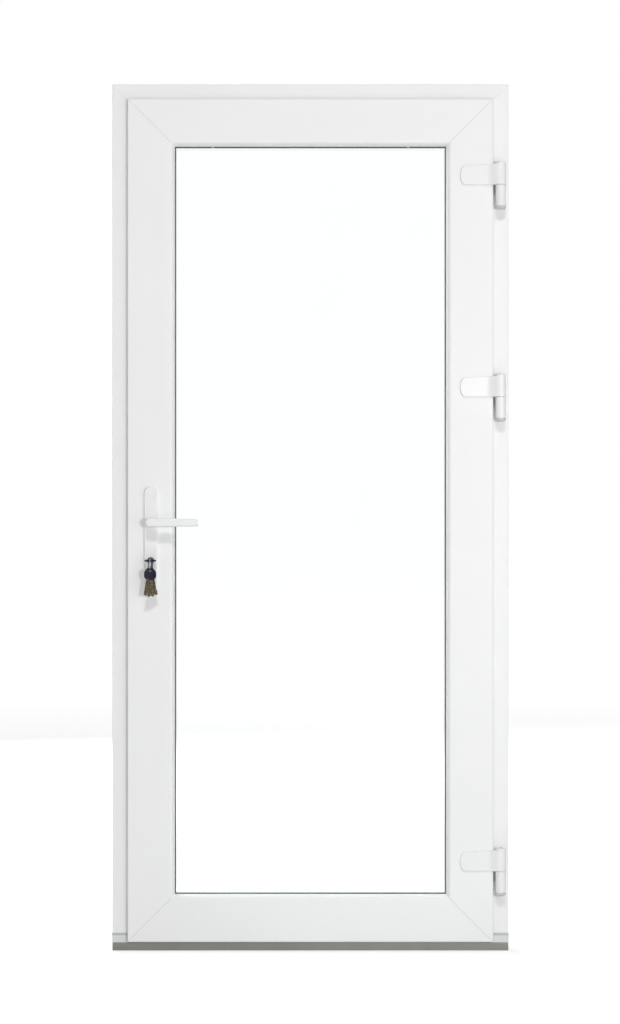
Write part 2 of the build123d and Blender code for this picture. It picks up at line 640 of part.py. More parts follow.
# Hinges: three, each with an arm on the leaf and a lower barrel with a pin on the frame
ARM_LEFT = HINGE_X - ARM_LENGTH
for place, split_height in HINGE_SPLIT_HEIGHTS.items():
    arm_foot = split_height + SPLIT_GAP / 2
    with BuildPart() as leaf_part:
        with BuildSketch(Plane.XY.offset(arm_foot)) as arm:
            with BuildLine():
                ramp_foot = (LEAF_HALF_WIDTH - ARM_RAMP, LEAF_FRONT - ARM_THICKNESS)
                barrel_front = (HINGE_X, HINGE_Y - BARREL_RADIUS)
                ramp = Spline(ramp_foot, barrel_front, tangents=[(1, 0), (1, 0)])
                Polyline(
                    barrel_front,
                    (HINGE_X, LEAF_FRONT),
                    (ARM_LEFT, LEAF_FRONT),
                    (ARM_LEFT, LEAF_FRONT - ARM_THICKNESS),
                    ramp_foot,
                )
            make_face()
        extrude(amount=ARM_HEIGHT + ARM_RISE)
        with BuildSketch(upright(LEAF_FRONT)) as face:
            with BuildLine():
                heel = (ARM_LEFT + ARM_BULGE, arm_foot)
                shoulder = (ARM_LEFT + ARM_BULGE, arm_foot + ARM_HEIGHT)
                ThreePointArc(shoulder, (ARM_LEFT, arm_foot + ARM_HEIGHT / 2), heel)
                Polyline(
                    heel,
                    (HINGE_X, arm_foot),
                    (HINGE_X, arm_foot + ARM_HEIGHT + ARM_RISE),
                    shoulder,
                )
            make_face()
            fillet(face.vertices().group_by(Axis.X)[0], ARM_CORNER)
        extrude(amount=ARM_THICKNESS + BARREL_RADIUS * 2, mode=Mode.INTERSECT)
        flat = leaf_part.faces().filter_by(Axis.Y).sort_by(Axis.Y)[0]
        fillet(flat.edges() - flat.edges().sort_by(Axis.X)[-1:], ARM_EDGE)
        with BuildSketch(Plane.XY.offset(arm_foot)):
            with Locations((HINGE_X, HINGE_Y)):
                Circle(BARREL_RADIUS)
        extrude(amount=UPPER_BARREL_LENGTH)
        fillet(leaf_part.faces().sort_by(Axis.Z)[-1].edges(), BARREL_DOME)
        with BuildSketch(Plane.XY.offset(arm_foot)):
            with Locations((HINGE_X, HINGE_Y)):
                Circle(PIN_RADIUS + PIN_CLEARANCE)
        extrude(amount=PIN_LENGTH, mode=Mode.SUBTRACT)
    write(leaf_part, f"hinge_{place}_leaf_part")

    barrel_top = split_height - SPLIT_GAP / 2
    with BuildPart() as frame_part:
        with BuildSketch(Plane.XY.offset(barrel_top)):
            with Locations((HINGE_X, HINGE_Y)):
                Circle(BARREL_RADIUS)
        extrude(amount=-LOWER_BARREL_LENGTH)
        chamfer(frame_part.faces().sort_by(Axis.Z)[0].edges(), BARREL_CAP_CHAMFER)
        with BuildSketch(Plane.XY.offset(barrel_top - LOWER_BARREL_LENGTH + BARREL_CAP_LENGTH)):
            with Locations((HINGE_X, HINGE_Y)):
                Circle(BARREL_RADIUS)
                Circle(BARREL_RADIUS - BARREL_RING_WIDTH, mode=Mode.SUBTRACT)
        extrude(amount=BARREL_RING_WIDTH, mode=Mode.SUBTRACT)
        with BuildSketch(Plane.XY.offset(barrel_top)):
            with Locations((HINGE_X, HINGE_Y)):
                Circle(PIN_RADIUS)
        extrude(amount=PIN_LENGTH - PIN_CLEARANCE)
        with BuildSketch(upright(HINGE_Y)):
            with Locations((HINGE_X, barrel_top - BRACKET_DROP)):
                Rectangle(BRACKET_WIDTH, BRACKET_HEIGHT, align=(Align.CENTER, Align.MAX))
        extrude(amount=HINGE_Y - FRAME_FRONT)
        with BuildSketch(upright(FRAME_FRONT)):
            with Locations((HINGE_X, barrel_top - BRACKET_DROP - BRACKET_HEIGHT / 2)):
                RectangleRounded(
                    BRACKET_PLATE_WIDTH,
                    BRACKET_HEIGHT + 2 * BRACKET_PLATE_MARGIN,
                    BRACKET_PLATE_THICKNESS,
                )
        extrude(amount=BRACKET_PLATE_THICKNESS)
    write(frame_part, f"hinge_{place}_frame_part")

# Long handle plates on both faces, with a hole for the lever's neck and one for the cylinder
with BuildPart() as backplate_outside:
    with BuildSketch(upright(LEAF_FRONT)):
        with Locations((HANDLE_X, SPINDLE_HEIGHT + (PLATE_TOP - PLATE_BOTTOM) / 2)):
            SlotOverall(PLATE_TOP + PLATE_BOTTOM, PLATE_WIDTH, rotation=90)
    extrude(amount=PLATE_THICKNESS)
    fillet(backplate_outside.faces().sort_by(Axis.Y)[0].edges(), 2.5)
    with BuildSketch(upright(LEAF_FRONT)):
        with Locations((HANDLE_X, SPINDLE_HEIGHT)):
            Circle(JOURNAL_RADIUS + JOURNAL_CLEARANCE)
        with Locations((HANDLE_X, CYLINDER_HEIGHT)):
            Circle(CYLINDER_RADIUS)
        with Locations((HANDLE_X, CYLINDER_HEIGHT - CYLINDER_DROP / 2)):
            Rectangle(CYLINDER_WEB, CYLINDER_DROP)
    extrude(amount=PLATE_THICKNESS, mode=Mode.SUBTRACT)
write(backplate_outside, "backplate_outside")

with BuildPart() as backplate_inside:
    mirror(backplate_outside.part, about=LEAF_MIDDLE_PLANE)
write(backplate_inside, "backplate_inside")

# Levers on both sides and the square spindle between them
with BuildPart() as lever_outside:
    neck_plane = Plane(origin=(HANDLE_X, 0, SPINDLE_HEIGHT), x_dir=(1, 0, 0), z_dir=(0, 0, 1))
    neck_foot = PLATE_FACE - LEVER_GAP
    grip_front = PLATE_FACE - LEVER_REACH
    grip_back = grip_front + GRIP_THICKNESS
    neck_end = grip_front + NECK_INSET
    with BuildSketch(neck_plane) as neck:
        with BuildLine():
            foot = Polyline(
                (0, neck_end),
                (0, PLATE_FACE + JOURNAL_LENGTH),
                (JOURNAL_RADIUS, PLATE_FACE + JOURNAL_LENGTH),
                (JOURNAL_RADIUS, neck_foot),
                (LEVER_NECK_RADIUS, neck_foot),
                (LEVER_NECK_RADIUS, neck_foot - NECK_FOOT_HEIGHT),
            )
            waist = ThreePointArc(
                foot @ 1,
                (LEVER_WAIST_RADIUS, (neck_foot - NECK_FOOT_HEIGHT + grip_back) / 2),
                (LEVER_NECK_RADIUS, grip_back),
            )
            Polyline(waist @ 1, (LEVER_NECK_RADIUS, neck_end), (0, neck_end))
        make_face()
        fillet(neck.vertices().sort_by_distance(Vector(LEVER_NECK_RADIUS, neck_end))[0], NECK_ROUND)
    revolve(axis=Axis((HANDLE_X, 0, SPINDLE_HEIGHT), (0, 1, 0)))
    for reach, height, thickness in (
        (0, GRIP_HEIGHT, GRIP_THICKNESS),
        (LEVER_LENGTH, GRIP_TIP_HEIGHT, GRIP_TIP_THICKNESS),
    ):
        with BuildSketch(Plane.YZ.offset(HANDLE_X + reach)):
            with Locations((grip_front + GRIP_THICKNESS / 2, SPINDLE_HEIGHT)):
                RectangleRounded(thickness, height, GRIP_ROUND)
    loft()
    fillet(lever_outside.faces().sort_by(Axis.X)[-1].edges(), GRIP_TIP_ROUND)
    with BuildSketch(upright(PLATE_FACE + JOURNAL_LENGTH)):
        with Locations((HANDLE_X, SPINDLE_HEIGHT)):
            Rectangle(SPINDLE_SIZE, SPINDLE_SIZE)
    extrude(amount=JOURNAL_LENGTH + LEVER_REACH - GRIP_THICKNESS, mode=Mode.SUBTRACT)
write(lever_outside, "lever_outside")

with BuildPart() as lever_inside:
    mirror(lever_outside.part, about=LEAF_MIDDLE_PLANE)
write(lever_inside, "lever_inside")

with BuildPart() as spindle:
    outside_end = PLATE_FACE - LEVER_REACH + GRIP_THICKNESS
    with BuildSketch(upright(outside_end)):
        with Locations((HANDLE_X, SPINDLE_HEIGHT)):
            Rectangle(SPINDLE_SIZE, SPINDLE_SIZE)
    extrude(amount=-(LEAF_BACK + LEAF_FRONT - 2 * outside_end))
write(spindle, "spindle")

# Lock cylinder with a turning plug, the strip on the leaf's edge, and its bolts drawn back
CYLINDER_FACE = PLATE_FACE - CYLINDER_PROUD
with BuildPart() as cylinder_body:
    with BuildSketch(upright(CYLINDER_FACE)):
        with Locations((HANDLE_X, CYLINDER_HEIGHT)):
            Circle(CYLINDER_RADIUS)
        with Locations((HANDLE_X, CYLINDER_HEIGHT - CYLINDER_DROP / 2)):
            Rectangle(CYLINDER_WEB, CYLINDER_DROP)
    extrude(amount=-(LEAF_BACK + LEAF_FRONT - 2 * CYLINDER_FACE))
    with BuildSketch(upright(CYLINDER_FACE)):
        with Locations((HANDLE_X, CYLINDER_HEIGHT)):
            Circle(PLUG_RADIUS + PLUG_CLEARANCE)
    extrude(amount=-(PLUG_LENGTH - PLUG_PROUD + PLUG_CLEARANCE), mode=Mode.SUBTRACT)
    with BuildSketch(upright(LEAF_BACK + LEAF_FRONT - CYLINDER_FACE)):
        with Locations((HANDLE_X, CYLINDER_HEIGHT)):
            Rectangle(KEY_BLADE_THICKNESS, KEY_BLADE_WIDTH)
    extrude(amount=KEY_BLADE_LENGTH, mode=Mode.SUBTRACT)
write(cylinder_body, "cylinder_body")

PLUG_FACE = CYLINDER_FACE - PLUG_PROUD
with BuildPart() as cylinder_plug:
    with BuildSketch(upright(PLUG_FACE)):
        with Locations((HANDLE_X, CYLINDER_HEIGHT)):
            Circle(PLUG_RADIUS)
    extrude(amount=-PLUG_LENGTH)
    with BuildSketch(upright(PLUG_FACE)):
        with Locations((HANDLE_X, CYLINDER_HEIGHT)):
            Rectangle(KEY_BLADE_WIDTH, KEY_BLADE_THICKNESS)
    extrude(amount=-KEY_BLADE_LENGTH, mode=Mode.SUBTRACT)
write(cylinder_plug, "cylinder_plug")

with BuildPart() as lock_faceplate:
    with BuildSketch(Plane.YZ.offset(LOCK_REBATE_X)):
        with Locations((FITTING_MIDDLE, SPINDLE_HEIGHT)):
            Rectangle(FITTING_GROOVE_WIDTH, 2 * FACEPLATE_REACH)
            with GridLocations(0, FACEPLATE_SCREW_SPACING, 1, FACEPLATE_SCREWS):
                Circle(FACEPLATE_SCREW_RADIUS, mode=Mode.SUBTRACT)
        for level, height in bolts:
            with Locations((FITTING_MIDDLE, level)):
                Rectangle(
                    BOLT_THICKNESS + 2 * BOLT_CLEARANCE,
                    height + 2 * BOLT_CLEARANCE,
                    mode=Mode.SUBTRACT,
                )
    extrude(amount=FITTING_GROOVE_DEPTH)
write(lock_faceplate, "lock_faceplate")

for name, level, height in (
    ("latch_bolt", LATCH_LEVEL, LATCH_HEIGHT),
    ("dead_bolt", DEADBOLT_LEVEL, DEADBOLT_HEIGHT),
    ("locking_point_lower", POINT_LEVELS["lower"], POINT_HEIGHT),
    ("locking_point_upper", POINT_LEVELS["upper"], POINT_HEIGHT),
):
    with BuildPart() as bolt:
        with BuildSketch(Plane.YZ.offset(LOCK_REBATE_X - BOLT_PROUD)):
            with Locations((FITTING_MIDDLE, level)):
                Rectangle(BOLT_THICKNESS, height)
        extrude(amount=BOLT_LENGTH + BOLT_PROUD)
    write(bolt, name)

# Keeps on the lock-side jamb, with a window over each pocket
keeps = {
    "keep_main": [(LATCH_LEVEL, LATCH_HEIGHT), (DEADBOLT_LEVEL, DEADBOLT_HEIGHT)],
    "keep_lower": [(POINT_LEVELS["lower"], POINT_HEIGHT)],
    "keep_upper": [(POINT_LEVELS["upper"], POINT_HEIGHT)],
}
for name, windows in keeps.items():
    bottom = min(level - height / 2 for level, height in windows) - KEEP_MARGIN
    top = max(level + height / 2 for level, height in windows) + KEEP_MARGIN
    with BuildPart() as keep:
        with BuildSketch(Plane.YZ.offset(-FRAME_WIDTH / 2 + FRAME_FLANGE)):
            with Locations((FITTING_MIDDLE, (bottom + top) / 2)):
                RectangleRounded(KEEP_WIDTH, top - bottom, KEEP_CORNER)
            for level, height in windows:
                with Locations((FITTING_MIDDLE, level)):
                    Rectangle(
                        BOLT_THICKNESS + 2 * POCKET_CLEARANCE,
                        height + 2 * POCKET_CLEARANCE,
                        mode=Mode.SUBTRACT,
                    )
        extrude(amount=KEEP_THICKNESS)
        keep_face = Plane.YZ.offset(-FRAME_WIDTH / 2 + FRAME_FLANGE + KEEP_THICKNESS)
        for level in (bottom + KEEP_SCREW_INSET, top - KEEP_SCREW_INSET):
            with Locations(keep_face * Pos(FITTING_MIDDLE, level)):
                CounterSinkHole(KEEP_SCREW_RADIUS, KEEP_SCREW_HEAD_RADIUS, KEEP_THICKNESS)
    write(keep, name)

# Key in the lock, turned flat
BOW_FRONT = PLUG_FACE - KEY_SHOULDER
BOW_END = BOW_FRONT - BOW_LENGTH


def bow_outline(width, length, top):
    """Key bow with local y towards its ring end, which lies at y = top."""
    half_top = width * BOW_SHOULDER / 2
    wide = top - length * BOW_SHOULDER
    half_foot = width * BOW_FOOT / 2
    return [
        (-half_top, top),
        (half_top, top),
        (width / 2, wide),
        (half_foot, top - length),
        (-half_foot, top - length),
        (-width / 2, wide),
    ]


def blade_outline(length, top):
    """Key blade hanging down from y = top, with its cuts along the right edge and a pointed tip."""
    half = KEY_BLADE_WIDTH / 2
    first = top - length + KEY_TIP + (KEY_CUTS - 0.5) * KEY_CUT_PITCH
    points = [(-half, top), (half, top)]
    for number in range(KEY_CUTS):
        middle = first - number * KEY_CUT_PITCH
        depth = KEY_CUT_DEPTH * (1 + number % 3) / 3
        points += [(half, middle + depth), (half - depth, middle), (half, middle - depth)]
    points += [(half, top - length + KEY_TIP), (0, top - length), (-half, top - length + KEY_TIP)]
    return points


with BuildPart() as lock_key_blade:
    with BuildSketch(upright(PLUG_FACE - KEY_SHOULDER * 2)):
        with Locations((HANDLE_X, CYLINDER_HEIGHT)):
            Rectangle(KEY_BLADE_WIDTH, KEY_BLADE_THICKNESS)
    extrude(amount=-(KEY_BLADE_LENGTH + KEY_SHOULDER * 2))
write(lock_key_blade, "lock_key_blade")

with BuildPart() as lock_key_bow:
    bow_top = CYLINDER_HEIGHT + BOW_THICKNESS / 2
    bow_plane = Plane(origin=(HANDLE_X, BOW_END, bow_top), x_dir=(1, 0, 0), z_dir=(0, 0, -1))
    with BuildSketch(bow_plane) as bow_face:
        with BuildLine():
            Polyline(*bow_outline(BOW_WIDTH, BOW_LENGTH, 0), close=True)
        make_face()
        fillet(bow_face.vertices(), BOW_CORNER)
        with Locations((0, -BOW_WEB - BOW_HOLE_LENGTH / 2)):
            SlotOverall(BOW_HOLE_LENGTH, BOW_HOLE_WIDTH, rotation=90, mode=Mode.SUBTRACT)
    extrude(amount=BOW_THICKNESS)
    with BuildSketch(upright(BOW_FRONT)):
        with Locations((HANDLE_X, CYLINDER_HEIGHT)):
            Rectangle(KEY_BLADE_WIDTH, KEY_BLADE_THICKNESS)
    extrude(amount=KEY_SHOULDER, mode=Mode.SUBTRACT)
write(lock_key_bow, "lock_key_bow")

# Ring through the key's bow, and four keys hanging in a fan from it
RING_Y = BOW_END + BOW_WEB / 2
RING_HEIGHT = CYLINDER_HEIGHT + BOW_THICKNESS / 2 + RING_CLEARANCE + RING_WIRE_RADIUS - RING_RADIUS
with BuildPart() as key_ring:
    with BuildSketch(Plane.XY.offset(RING_HEIGHT)):
        with Locations((HANDLE_X, RING_Y + RING_RADIUS)):
            Circle(RING_WIRE_RADIUS)
    revolve(axis=Axis((HANDLE_X, RING_Y, RING_HEIGHT), (1, 0, 0)))
write(key_ring, "key_ring")


def hanging_place(number):
    """Plane of one hanging key: origin in its hole, local x across, local y down its blade."""
    offset = (number - (HANGING_KEYS - 1) / 2) * HANGING_KEY_PITCH
    drop = sqrt(RING_RADIUS**2 - offset**2)
    hole = RING_HEIGHT - drop - HANGING_HOLE_SAG
    lean = radians(FAN_START + FAN_STEP * number)
    return Plane(
        origin=(HANDLE_X, RING_Y + offset + HANGING_BOW_THICKNESS / 2, hole),
        x_dir=(cos(lean), 0, sin(lean)),
        z_dir=(0, -1, 0),
    )


with BuildPart() as hanging_key_bows:
    for number in range(HANGING_KEYS):
        with BuildSketch(hanging_place(number)) as hanging_face:
            with BuildLine():
                Polyline(
                    *bow_outline(HANGING_BOW_WIDTH, HANGING_BOW_LENGTH, HANGING_HOLE_INSET),
                    close=True,
                )
            make_face()
            fillet(hanging_face.vertices(), BOW_CORNER)
            Circle(HANGING_HOLE_RADIUS, mode=Mode.SUBTRACT)
        extrude(amount=HANGING_BOW_THICKNESS)
write(hanging_key_bows, "hanging_key_bows")

with BuildPart() as hanging_key_blades:
    inset = (HANGING_BOW_THICKNESS - KEY_BLADE_THICKNESS) / 2
    for number in range(HANGING_KEYS):
        with BuildSketch(hanging_place(number).offset(inset)):
            with BuildLine():
                Polyline(
                    *blade_outline(HANGING_BLADE_LENGTH, HANGING_HOLE_INSET - HANGING_BOW_LENGTH),
                    close=True,
                )
            make_face()
        extrude(amount=KEY_BLADE_THICKNESS)
write(hanging_key_blades, "hanging_key_blades")
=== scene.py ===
"""Glazed exterior door: finishes, small fittings and studio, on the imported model."""

import logging
from collections.abc import Callable, Iterable
from dataclasses import dataclass, field
from enum import Enum
from math import pi, radians, sin, sqrt

import bpy
from mathutils import Matrix, Vector


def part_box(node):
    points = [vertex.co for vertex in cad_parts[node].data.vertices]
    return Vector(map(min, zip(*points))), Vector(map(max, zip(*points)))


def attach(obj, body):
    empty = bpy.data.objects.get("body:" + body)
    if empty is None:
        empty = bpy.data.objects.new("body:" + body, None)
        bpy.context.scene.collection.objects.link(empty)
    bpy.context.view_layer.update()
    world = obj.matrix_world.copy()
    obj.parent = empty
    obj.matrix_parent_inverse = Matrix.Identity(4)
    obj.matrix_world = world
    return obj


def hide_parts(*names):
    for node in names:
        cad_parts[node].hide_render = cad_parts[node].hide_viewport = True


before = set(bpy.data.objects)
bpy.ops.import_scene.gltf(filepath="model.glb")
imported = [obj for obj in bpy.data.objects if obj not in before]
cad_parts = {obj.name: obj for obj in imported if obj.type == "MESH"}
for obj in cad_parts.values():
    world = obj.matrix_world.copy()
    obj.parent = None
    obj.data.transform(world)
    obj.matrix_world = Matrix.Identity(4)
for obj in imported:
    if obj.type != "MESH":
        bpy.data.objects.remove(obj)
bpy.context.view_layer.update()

MM = 0.001
FACING = 0.9  # least cosine between a face's normal and the way that it faces
MERGE_DISTANCE = 0.03 * MM
FLAT_ANGLE = radians(1)
SHARP_ANGLE = radians(32)
SMOOTH_ANGLE = radians(40)
UP = Vector((0, 0, 1))
OUTWARD = Vector((0, -1, 0))  # towards the outside of the door
ORIGIN = Vector((0, 0, 0))
Triple = tuple[float, float, float]
Piece = bpy.types.Object
Material = bpy.types.Material
Tree = bpy.types.NodeTree
Socket = bpy.types.NodeSocket
log = logging.getLogger("glazed_door")


def linear(colour: str) -> tuple[float, float, float, float]:
    """Turns an sRGB hex colour to the linear values that shaders take.

    Args:
        colour: Hex colour such as "#F2F3F3".

    Returns:
        Red, green, blue and an alpha of 1.
    """
    parts = [int(colour[start : start + 2], 16) / 255 for start in (1, 3, 5)]
    red, green, blue = (c / 12.92 if c <= 0.04045 else ((c + 0.055) / 1.055) ** 2.4 for c in parts)
    return (red, green, blue, 1.0)


def add_node(
    tree: Tree,
    kind: str,
    settings: dict[str, object] | None = None,
    links: dict[str, Socket] | None = None,
) -> bpy.types.Node:
    """Adds one node with its settings and links.

    Args:
        tree: Node tree of a material or the world.
        kind: Node type, such as "ShaderNodeTexNoise".
        settings: Values by the name of a property or of an input.
        links: Sockets that feed inputs, by the input's name.

    Returns:
        The new node.
    """
    node = tree.nodes.new(kind)
    for name, value in (settings or {}).items():
        if name in node.bl_rna.properties:
            setattr(node, name, value)
        else:
            node.inputs[name].default_value = value
    for name, socket in (links or {}).items():
        tree.links.new(socket, node.inputs[name])
    return node


class Run(Enum):
    """Direction in which a profile was extruded or a part was brushed."""

    UPRIGHT = "upright"
    LEVEL = "level"
    OUTWARD = "outward"


class Role(Enum):
    """What a piece is made of, by the way that its surface was made."""

    UPRIGHT_PVC = "extruded_pvc_upright"
    LEVEL_PVC = "extruded_pvc_level"
    MOULDED_PVC = "moulded_pvc"
    CONNECTOR_PVC = "moulded_grey_white_pvc"
    WELD_PVC = "trimmed_pvc_weld"
    PAD_PVC = "painted_shade_grey_pvc"
    COATED_ZINC = "powder_coated_zinc"
    ALUMINIUM = "anodised_aluminium"
    SPACER = "rolled_spacer_aluminium"
    GLASS = "float_glass"
    RUBBER = "extruded_epdm"
    BLACK_RUBBER = "extruded_black_epdm"
    PILE = "polypropylene_pile"
    CAP_PLASTIC = "grey_polyamide_painted_shade"
    PLATED_STEEL = "zinc_plated_steel"
    KEY_METAL = "milled_nickel_silver"
    CYLINDER_METAL = "turned_nickel_brass_painted_shade"
    RING_STEEL = "drawn_spring_steel"
    KEY_PLASTIC = "moulded_navy_nylon"


@dataclass(frozen=True)
class Surface:
    """Nodes of one material while it is made, with the finish that it gets."""

    finish: "Finish"
    tree: Tree
    shader: bpy.types.Node
    place: Socket

    def cloud(self, size_mm: Triple, detail: float = 2.0) -> Socket:
        """Adds a soft random pattern.

        Args:
            size_mm: Size of one cloud along X, Y and Z.
            detail: How many finer layers it has.

        Returns:
            The socket with the pattern, from 0 to 1.
        """
        scale = Vector(1 / (size * MM) for size in size_mm)
        stretched = add_node(self.tree, "ShaderNodeMapping", {"Scale": scale}, {"Vector": self.place})
        noise = add_node(
            self.tree,
            "ShaderNodeTexNoise",
            {"Scale": 1.0, "Detail": detail, "Roughness": 0.5},
            {"Vector": stretched.outputs["Vector"]},
        )
        return noise.outputs["Fac"]

    def tint(self, share: Socket) -> None:
        """Colours the surface between the finish's shade and its colour, by a pattern."""
        mixed = add_node(self.tree, "ShaderNodeMix", {"data_type": "RGBA"}, {"Factor": share})
        mixed.inputs["A"].default_value = linear(self.finish.shade)
        mixed.inputs["B"].default_value = linear(self.finish.colour)
        self.tree.links.new(mixed.outputs["Result"], self.shader.inputs["Base Color"])

    def gloss(self, pattern: Socket) -> None:
        """Lets the roughness go up and down by a pattern, spread to each side."""
        middle, spread = self.finish.roughness, self.finish.gloss_spread
        ranged = add_node(
            self.tree,
            "ShaderNodeMapRange",
            {"To Min": middle - spread, "To Max": middle + spread},
            {"Value": pattern},
        )
        self.tree.links.new(ranged.outputs["Result"], self.shader.inputs["Roughness"])

    def relief(self, *heights: tuple[Socket, float]) -> None:
        """Raises the surface by pairs of a pattern and its depth in millimetres."""
        normal = None
        for pattern, depth_mm in heights:
            bump = add_node(
                self.tree, "ShaderNodeBump", {"Strength": 1.0, "Distance": depth_mm * MM}, {"Height": pattern}
            )
            if normal:
                self.tree.links.new(normal, bump.inputs["Normal"])
            normal = bump.outputs["Normal"]
        self.tree.links.new(normal, self.shader.inputs["Normal"])


@dataclass(frozen=True)
class Finish:
    """One material: its colour, how much the colour varies, and its gloss."""

    colour: str
    shade: str
    roughness: float
    metallic: float = 0.0
    ior: float = 1.5
    specular: float = 0.5
    gloss_spread: float = 0.1

    def make(self, name: str) -> Material:
        """Makes the material with all its nodes.

        Args:
            name: The material's name.

        Returns:
            The material.
        """
        material = bpy.data.materials.new(name)
        material.use_nodes = True
        tree = material.node_tree
        tree.nodes.clear()
        settings = {
            "Base Color": linear(self.colour),
            "Roughness": self.roughness,
            "Metallic": self.metallic,
            "IOR": self.ior,
            "Specular IOR Level": self.specular,
        }
        shader = add_node(tree, "ShaderNodeBsdfPrincipled", settings)
        add_node(tree, "ShaderNodeOutputMaterial", {}, {"Surface": shader.outputs["BSDF"]})
        place = add_node(tree, "ShaderNodeTexCoord").outputs["Object"]
        self.paint(Surface(self, tree, shader, place))
        return material

    def paint(self, surface: Surface) -> None:
        """Adds the patterns of this finish to a surface."""
        raise NotImplementedError


def along(run: Run, fine: float, long: float) -> Triple:
    """Size of a pattern that is long in one direction and fine across it, in millimetres."""
    return {
        Run.UPRIGHT: (fine, fine, long),
        Run.LEVEL: (long, fine, fine),
        Run.OUTWARD: (fine, long, fine),
    }[run]


@dataclass(frozen=True)
class ExtrudedPvc(Finish):
    """White PVC-U pushed through a polished die.

    The eye sees a satin gloss, faint draw lines along the profile, and a very slow change of white.
    """

    gloss_spread: float = 0.05
    run: Run = Run.UPRIGHT
    line_mm: float = 3.5  # real draw lines are under 1 mm apart, too fine to show here
    line_length_mm: float = 900.0
    line_depth_mm: float = 0.008
    change_mm: float = 260.0
    wave_mm: float = 45.0
    wave_length_mm: float = 320.0
    wave_depth_mm: float = 0.05

    def paint(self, surface: Surface) -> None:
        """Adds draw lines, long waves and the slow change of white."""
        lines = surface.cloud(along(self.run, self.line_mm, self.line_length_mm), 1.0)
        surface.tint(surface.cloud((self.change_mm,) * 3, 3.0))
        surface.gloss(lines)
        waves = surface.cloud(along(self.run, self.wave_mm, self.wave_length_mm), 1.0)
        surface.relief((lines, self.line_depth_mm), (waves, self.wave_depth_mm))


@dataclass(frozen=True)
class PowderCoat(Finish):
    """White powder baked on cast zinc.

    The eye sees a half gloss with a fine orange peel, a little softer than the plastic beside it.
    """

    gloss_spread: float = 0.04
    peel_mm: float = 1.6
    peel_depth_mm: float = 0.012
    change_mm: float = 30.0

    def paint(self, surface: Surface) -> None:
        """Adds the orange peel and a slow change of colour and gloss."""
        peel = surface.cloud((self.peel_mm,) * 3, 1.0)
        slow = surface.cloud((self.change_mm,) * 3, 2.0)
        surface.tint(slow)
        surface.gloss(slow)
        surface.relief((peel, self.peel_depth_mm))


@dataclass(frozen=True)
class DrawnMetal(Finish):
    """Metal with lines along one direction, from extrusion, rolling, milling or a brush.

    The eye sees streaks of slightly different grey that stretch each highlight across them.
    """

    metallic: float = 1.0
    gloss_spread: float = 0.09
    run: Run = Run.LEVEL
    line_mm: float = 0.9
    line_length_mm: float = 260.0
    line_depth_mm: float = 0.01
    blotch_and_shade_mm: float = 60.0
    reach: float = 0.5  # how far from its middle the pattern runs before the colour is full

    def paint(self, surface: Surface) -> None:
        """Adds the lines and stains, which change both colour and gloss; where the shade colour is near
        black, as on the keys, the stains are also painted shade.
        """
        lines = surface.cloud(along(self.run, self.line_mm, self.line_length_mm), 2.0)
        blotch_and_shade = surface.cloud((self.blotch_and_shade_mm,) * 3, 4.0)
        mixed = add_node(surface.tree, "ShaderNodeMix", {"Factor": 0.5}, {"A": lines, "B": blotch_and_shade})
        both = mixed.outputs["Result"]
        ends = {"From Min": 0.5 - self.reach, "From Max": 0.5 + self.reach}
        streaks = add_node(surface.tree, "ShaderNodeMapRange", ends, {"Value": both})
        surface.tint(streaks.outputs["Result"])
        surface.gloss(both)
        surface.relief((lines, self.line_depth_mm))


@dataclass(frozen=True)
class PlatedSteel(Finish):
    """Steel sheet with a bright zinc coat.

    The eye sees small crystals of slightly different grey, and a soft mirror.
    """

    metallic: float = 1.0
    gloss_spread: float = 0.07
    crystal_mm: float = 2.4
    scratch_mm: Triple = (0.7, 0.7, 9.0)
    scratch_depth_mm: float = 0.006

    def paint(self, surface: Surface) -> None:
        """Adds the crystals and fine scratches."""
        settings = {"Scale": 1 / (self.crystal_mm * MM), "feature": "F1"}
        crystals = add_node(surface.tree, "ShaderNodeTexVoronoi", settings, {"Vector": surface.place})
        grey = add_node(surface.tree, "ShaderNodeSeparateColor", {}, {"Color": crystals.outputs["Color"]})
        surface.tint(grey.outputs["Red"])
        surface.gloss(grey.outputs["Green"])
        surface.relief((surface.cloud(self.scratch_mm, 2.0), self.scratch_depth_mm))


@dataclass(frozen=True)
class FloatGlass(Finish):
    """Clear soda-lime glass, floated flat on tin and cut, which lets lamps through as real glass does.

    The eye sees what is behind it, and a faint mirror image in front.
    """

    film_mm: Triple = (180.0, 180.0, 240.0)
    wave_mm: float = 5.0
    wave_depth_mm: float = 0.0004
    passed_light: str = "#F6FAF8"

    def paint(self, surface: Surface) -> None:
        """Makes the surface clear, with a thin film and faint waves."""
        tree, shader = surface.tree, surface.shader
        shader.inputs["Transmission Weight"].default_value = 1.0
        surface.tint(surface.cloud(self.film_mm, 3.0))
        surface.relief((surface.cloud((self.wave_mm,) * 3, 2.0), self.wave_depth_mm))
        clear = add_node(tree, "ShaderNodeBsdfTransparent", {"Color": linear(self.passed_light)})
        ray = add_node(tree, "ShaderNodeLightPath")
        passed = add_node(tree, "ShaderNodeMixShader", {}, {"Fac": ray.outputs["Is Shadow Ray"]})
        tree.links.new(shader.outputs["BSDF"], passed.inputs[1])
        tree.links.new(clear.outputs["BSDF"], passed.inputs[2])
        output = next(node for node in tree.nodes if node.type == "OUTPUT_MATERIAL")
        tree.links.new(passed.outputs["Shader"], output.inputs["Surface"])


@dataclass(frozen=True)
class SoftSeal(Finish):
    """Grey or black EPDM rubber, extruded and cured.

    The eye sees a dull skin with fine lines, and a pale bloom where it has been wiped.
    """

    bloom_mm: float = 22.0
    skin_mm: float = 0.8
    skin_depth_mm: float = 0.03

    def paint(self, surface: Surface) -> None:
        """Adds the bloom and the skin's grain."""
        bloom = surface.cloud((self.bloom_mm,) * 3, 4.0)
        skin = surface.cloud((self.skin_mm,) * 3, 2.0)
        surface.tint(bloom)
        surface.gloss(bloom)
        surface.relief((skin, self.skin_depth_mm))


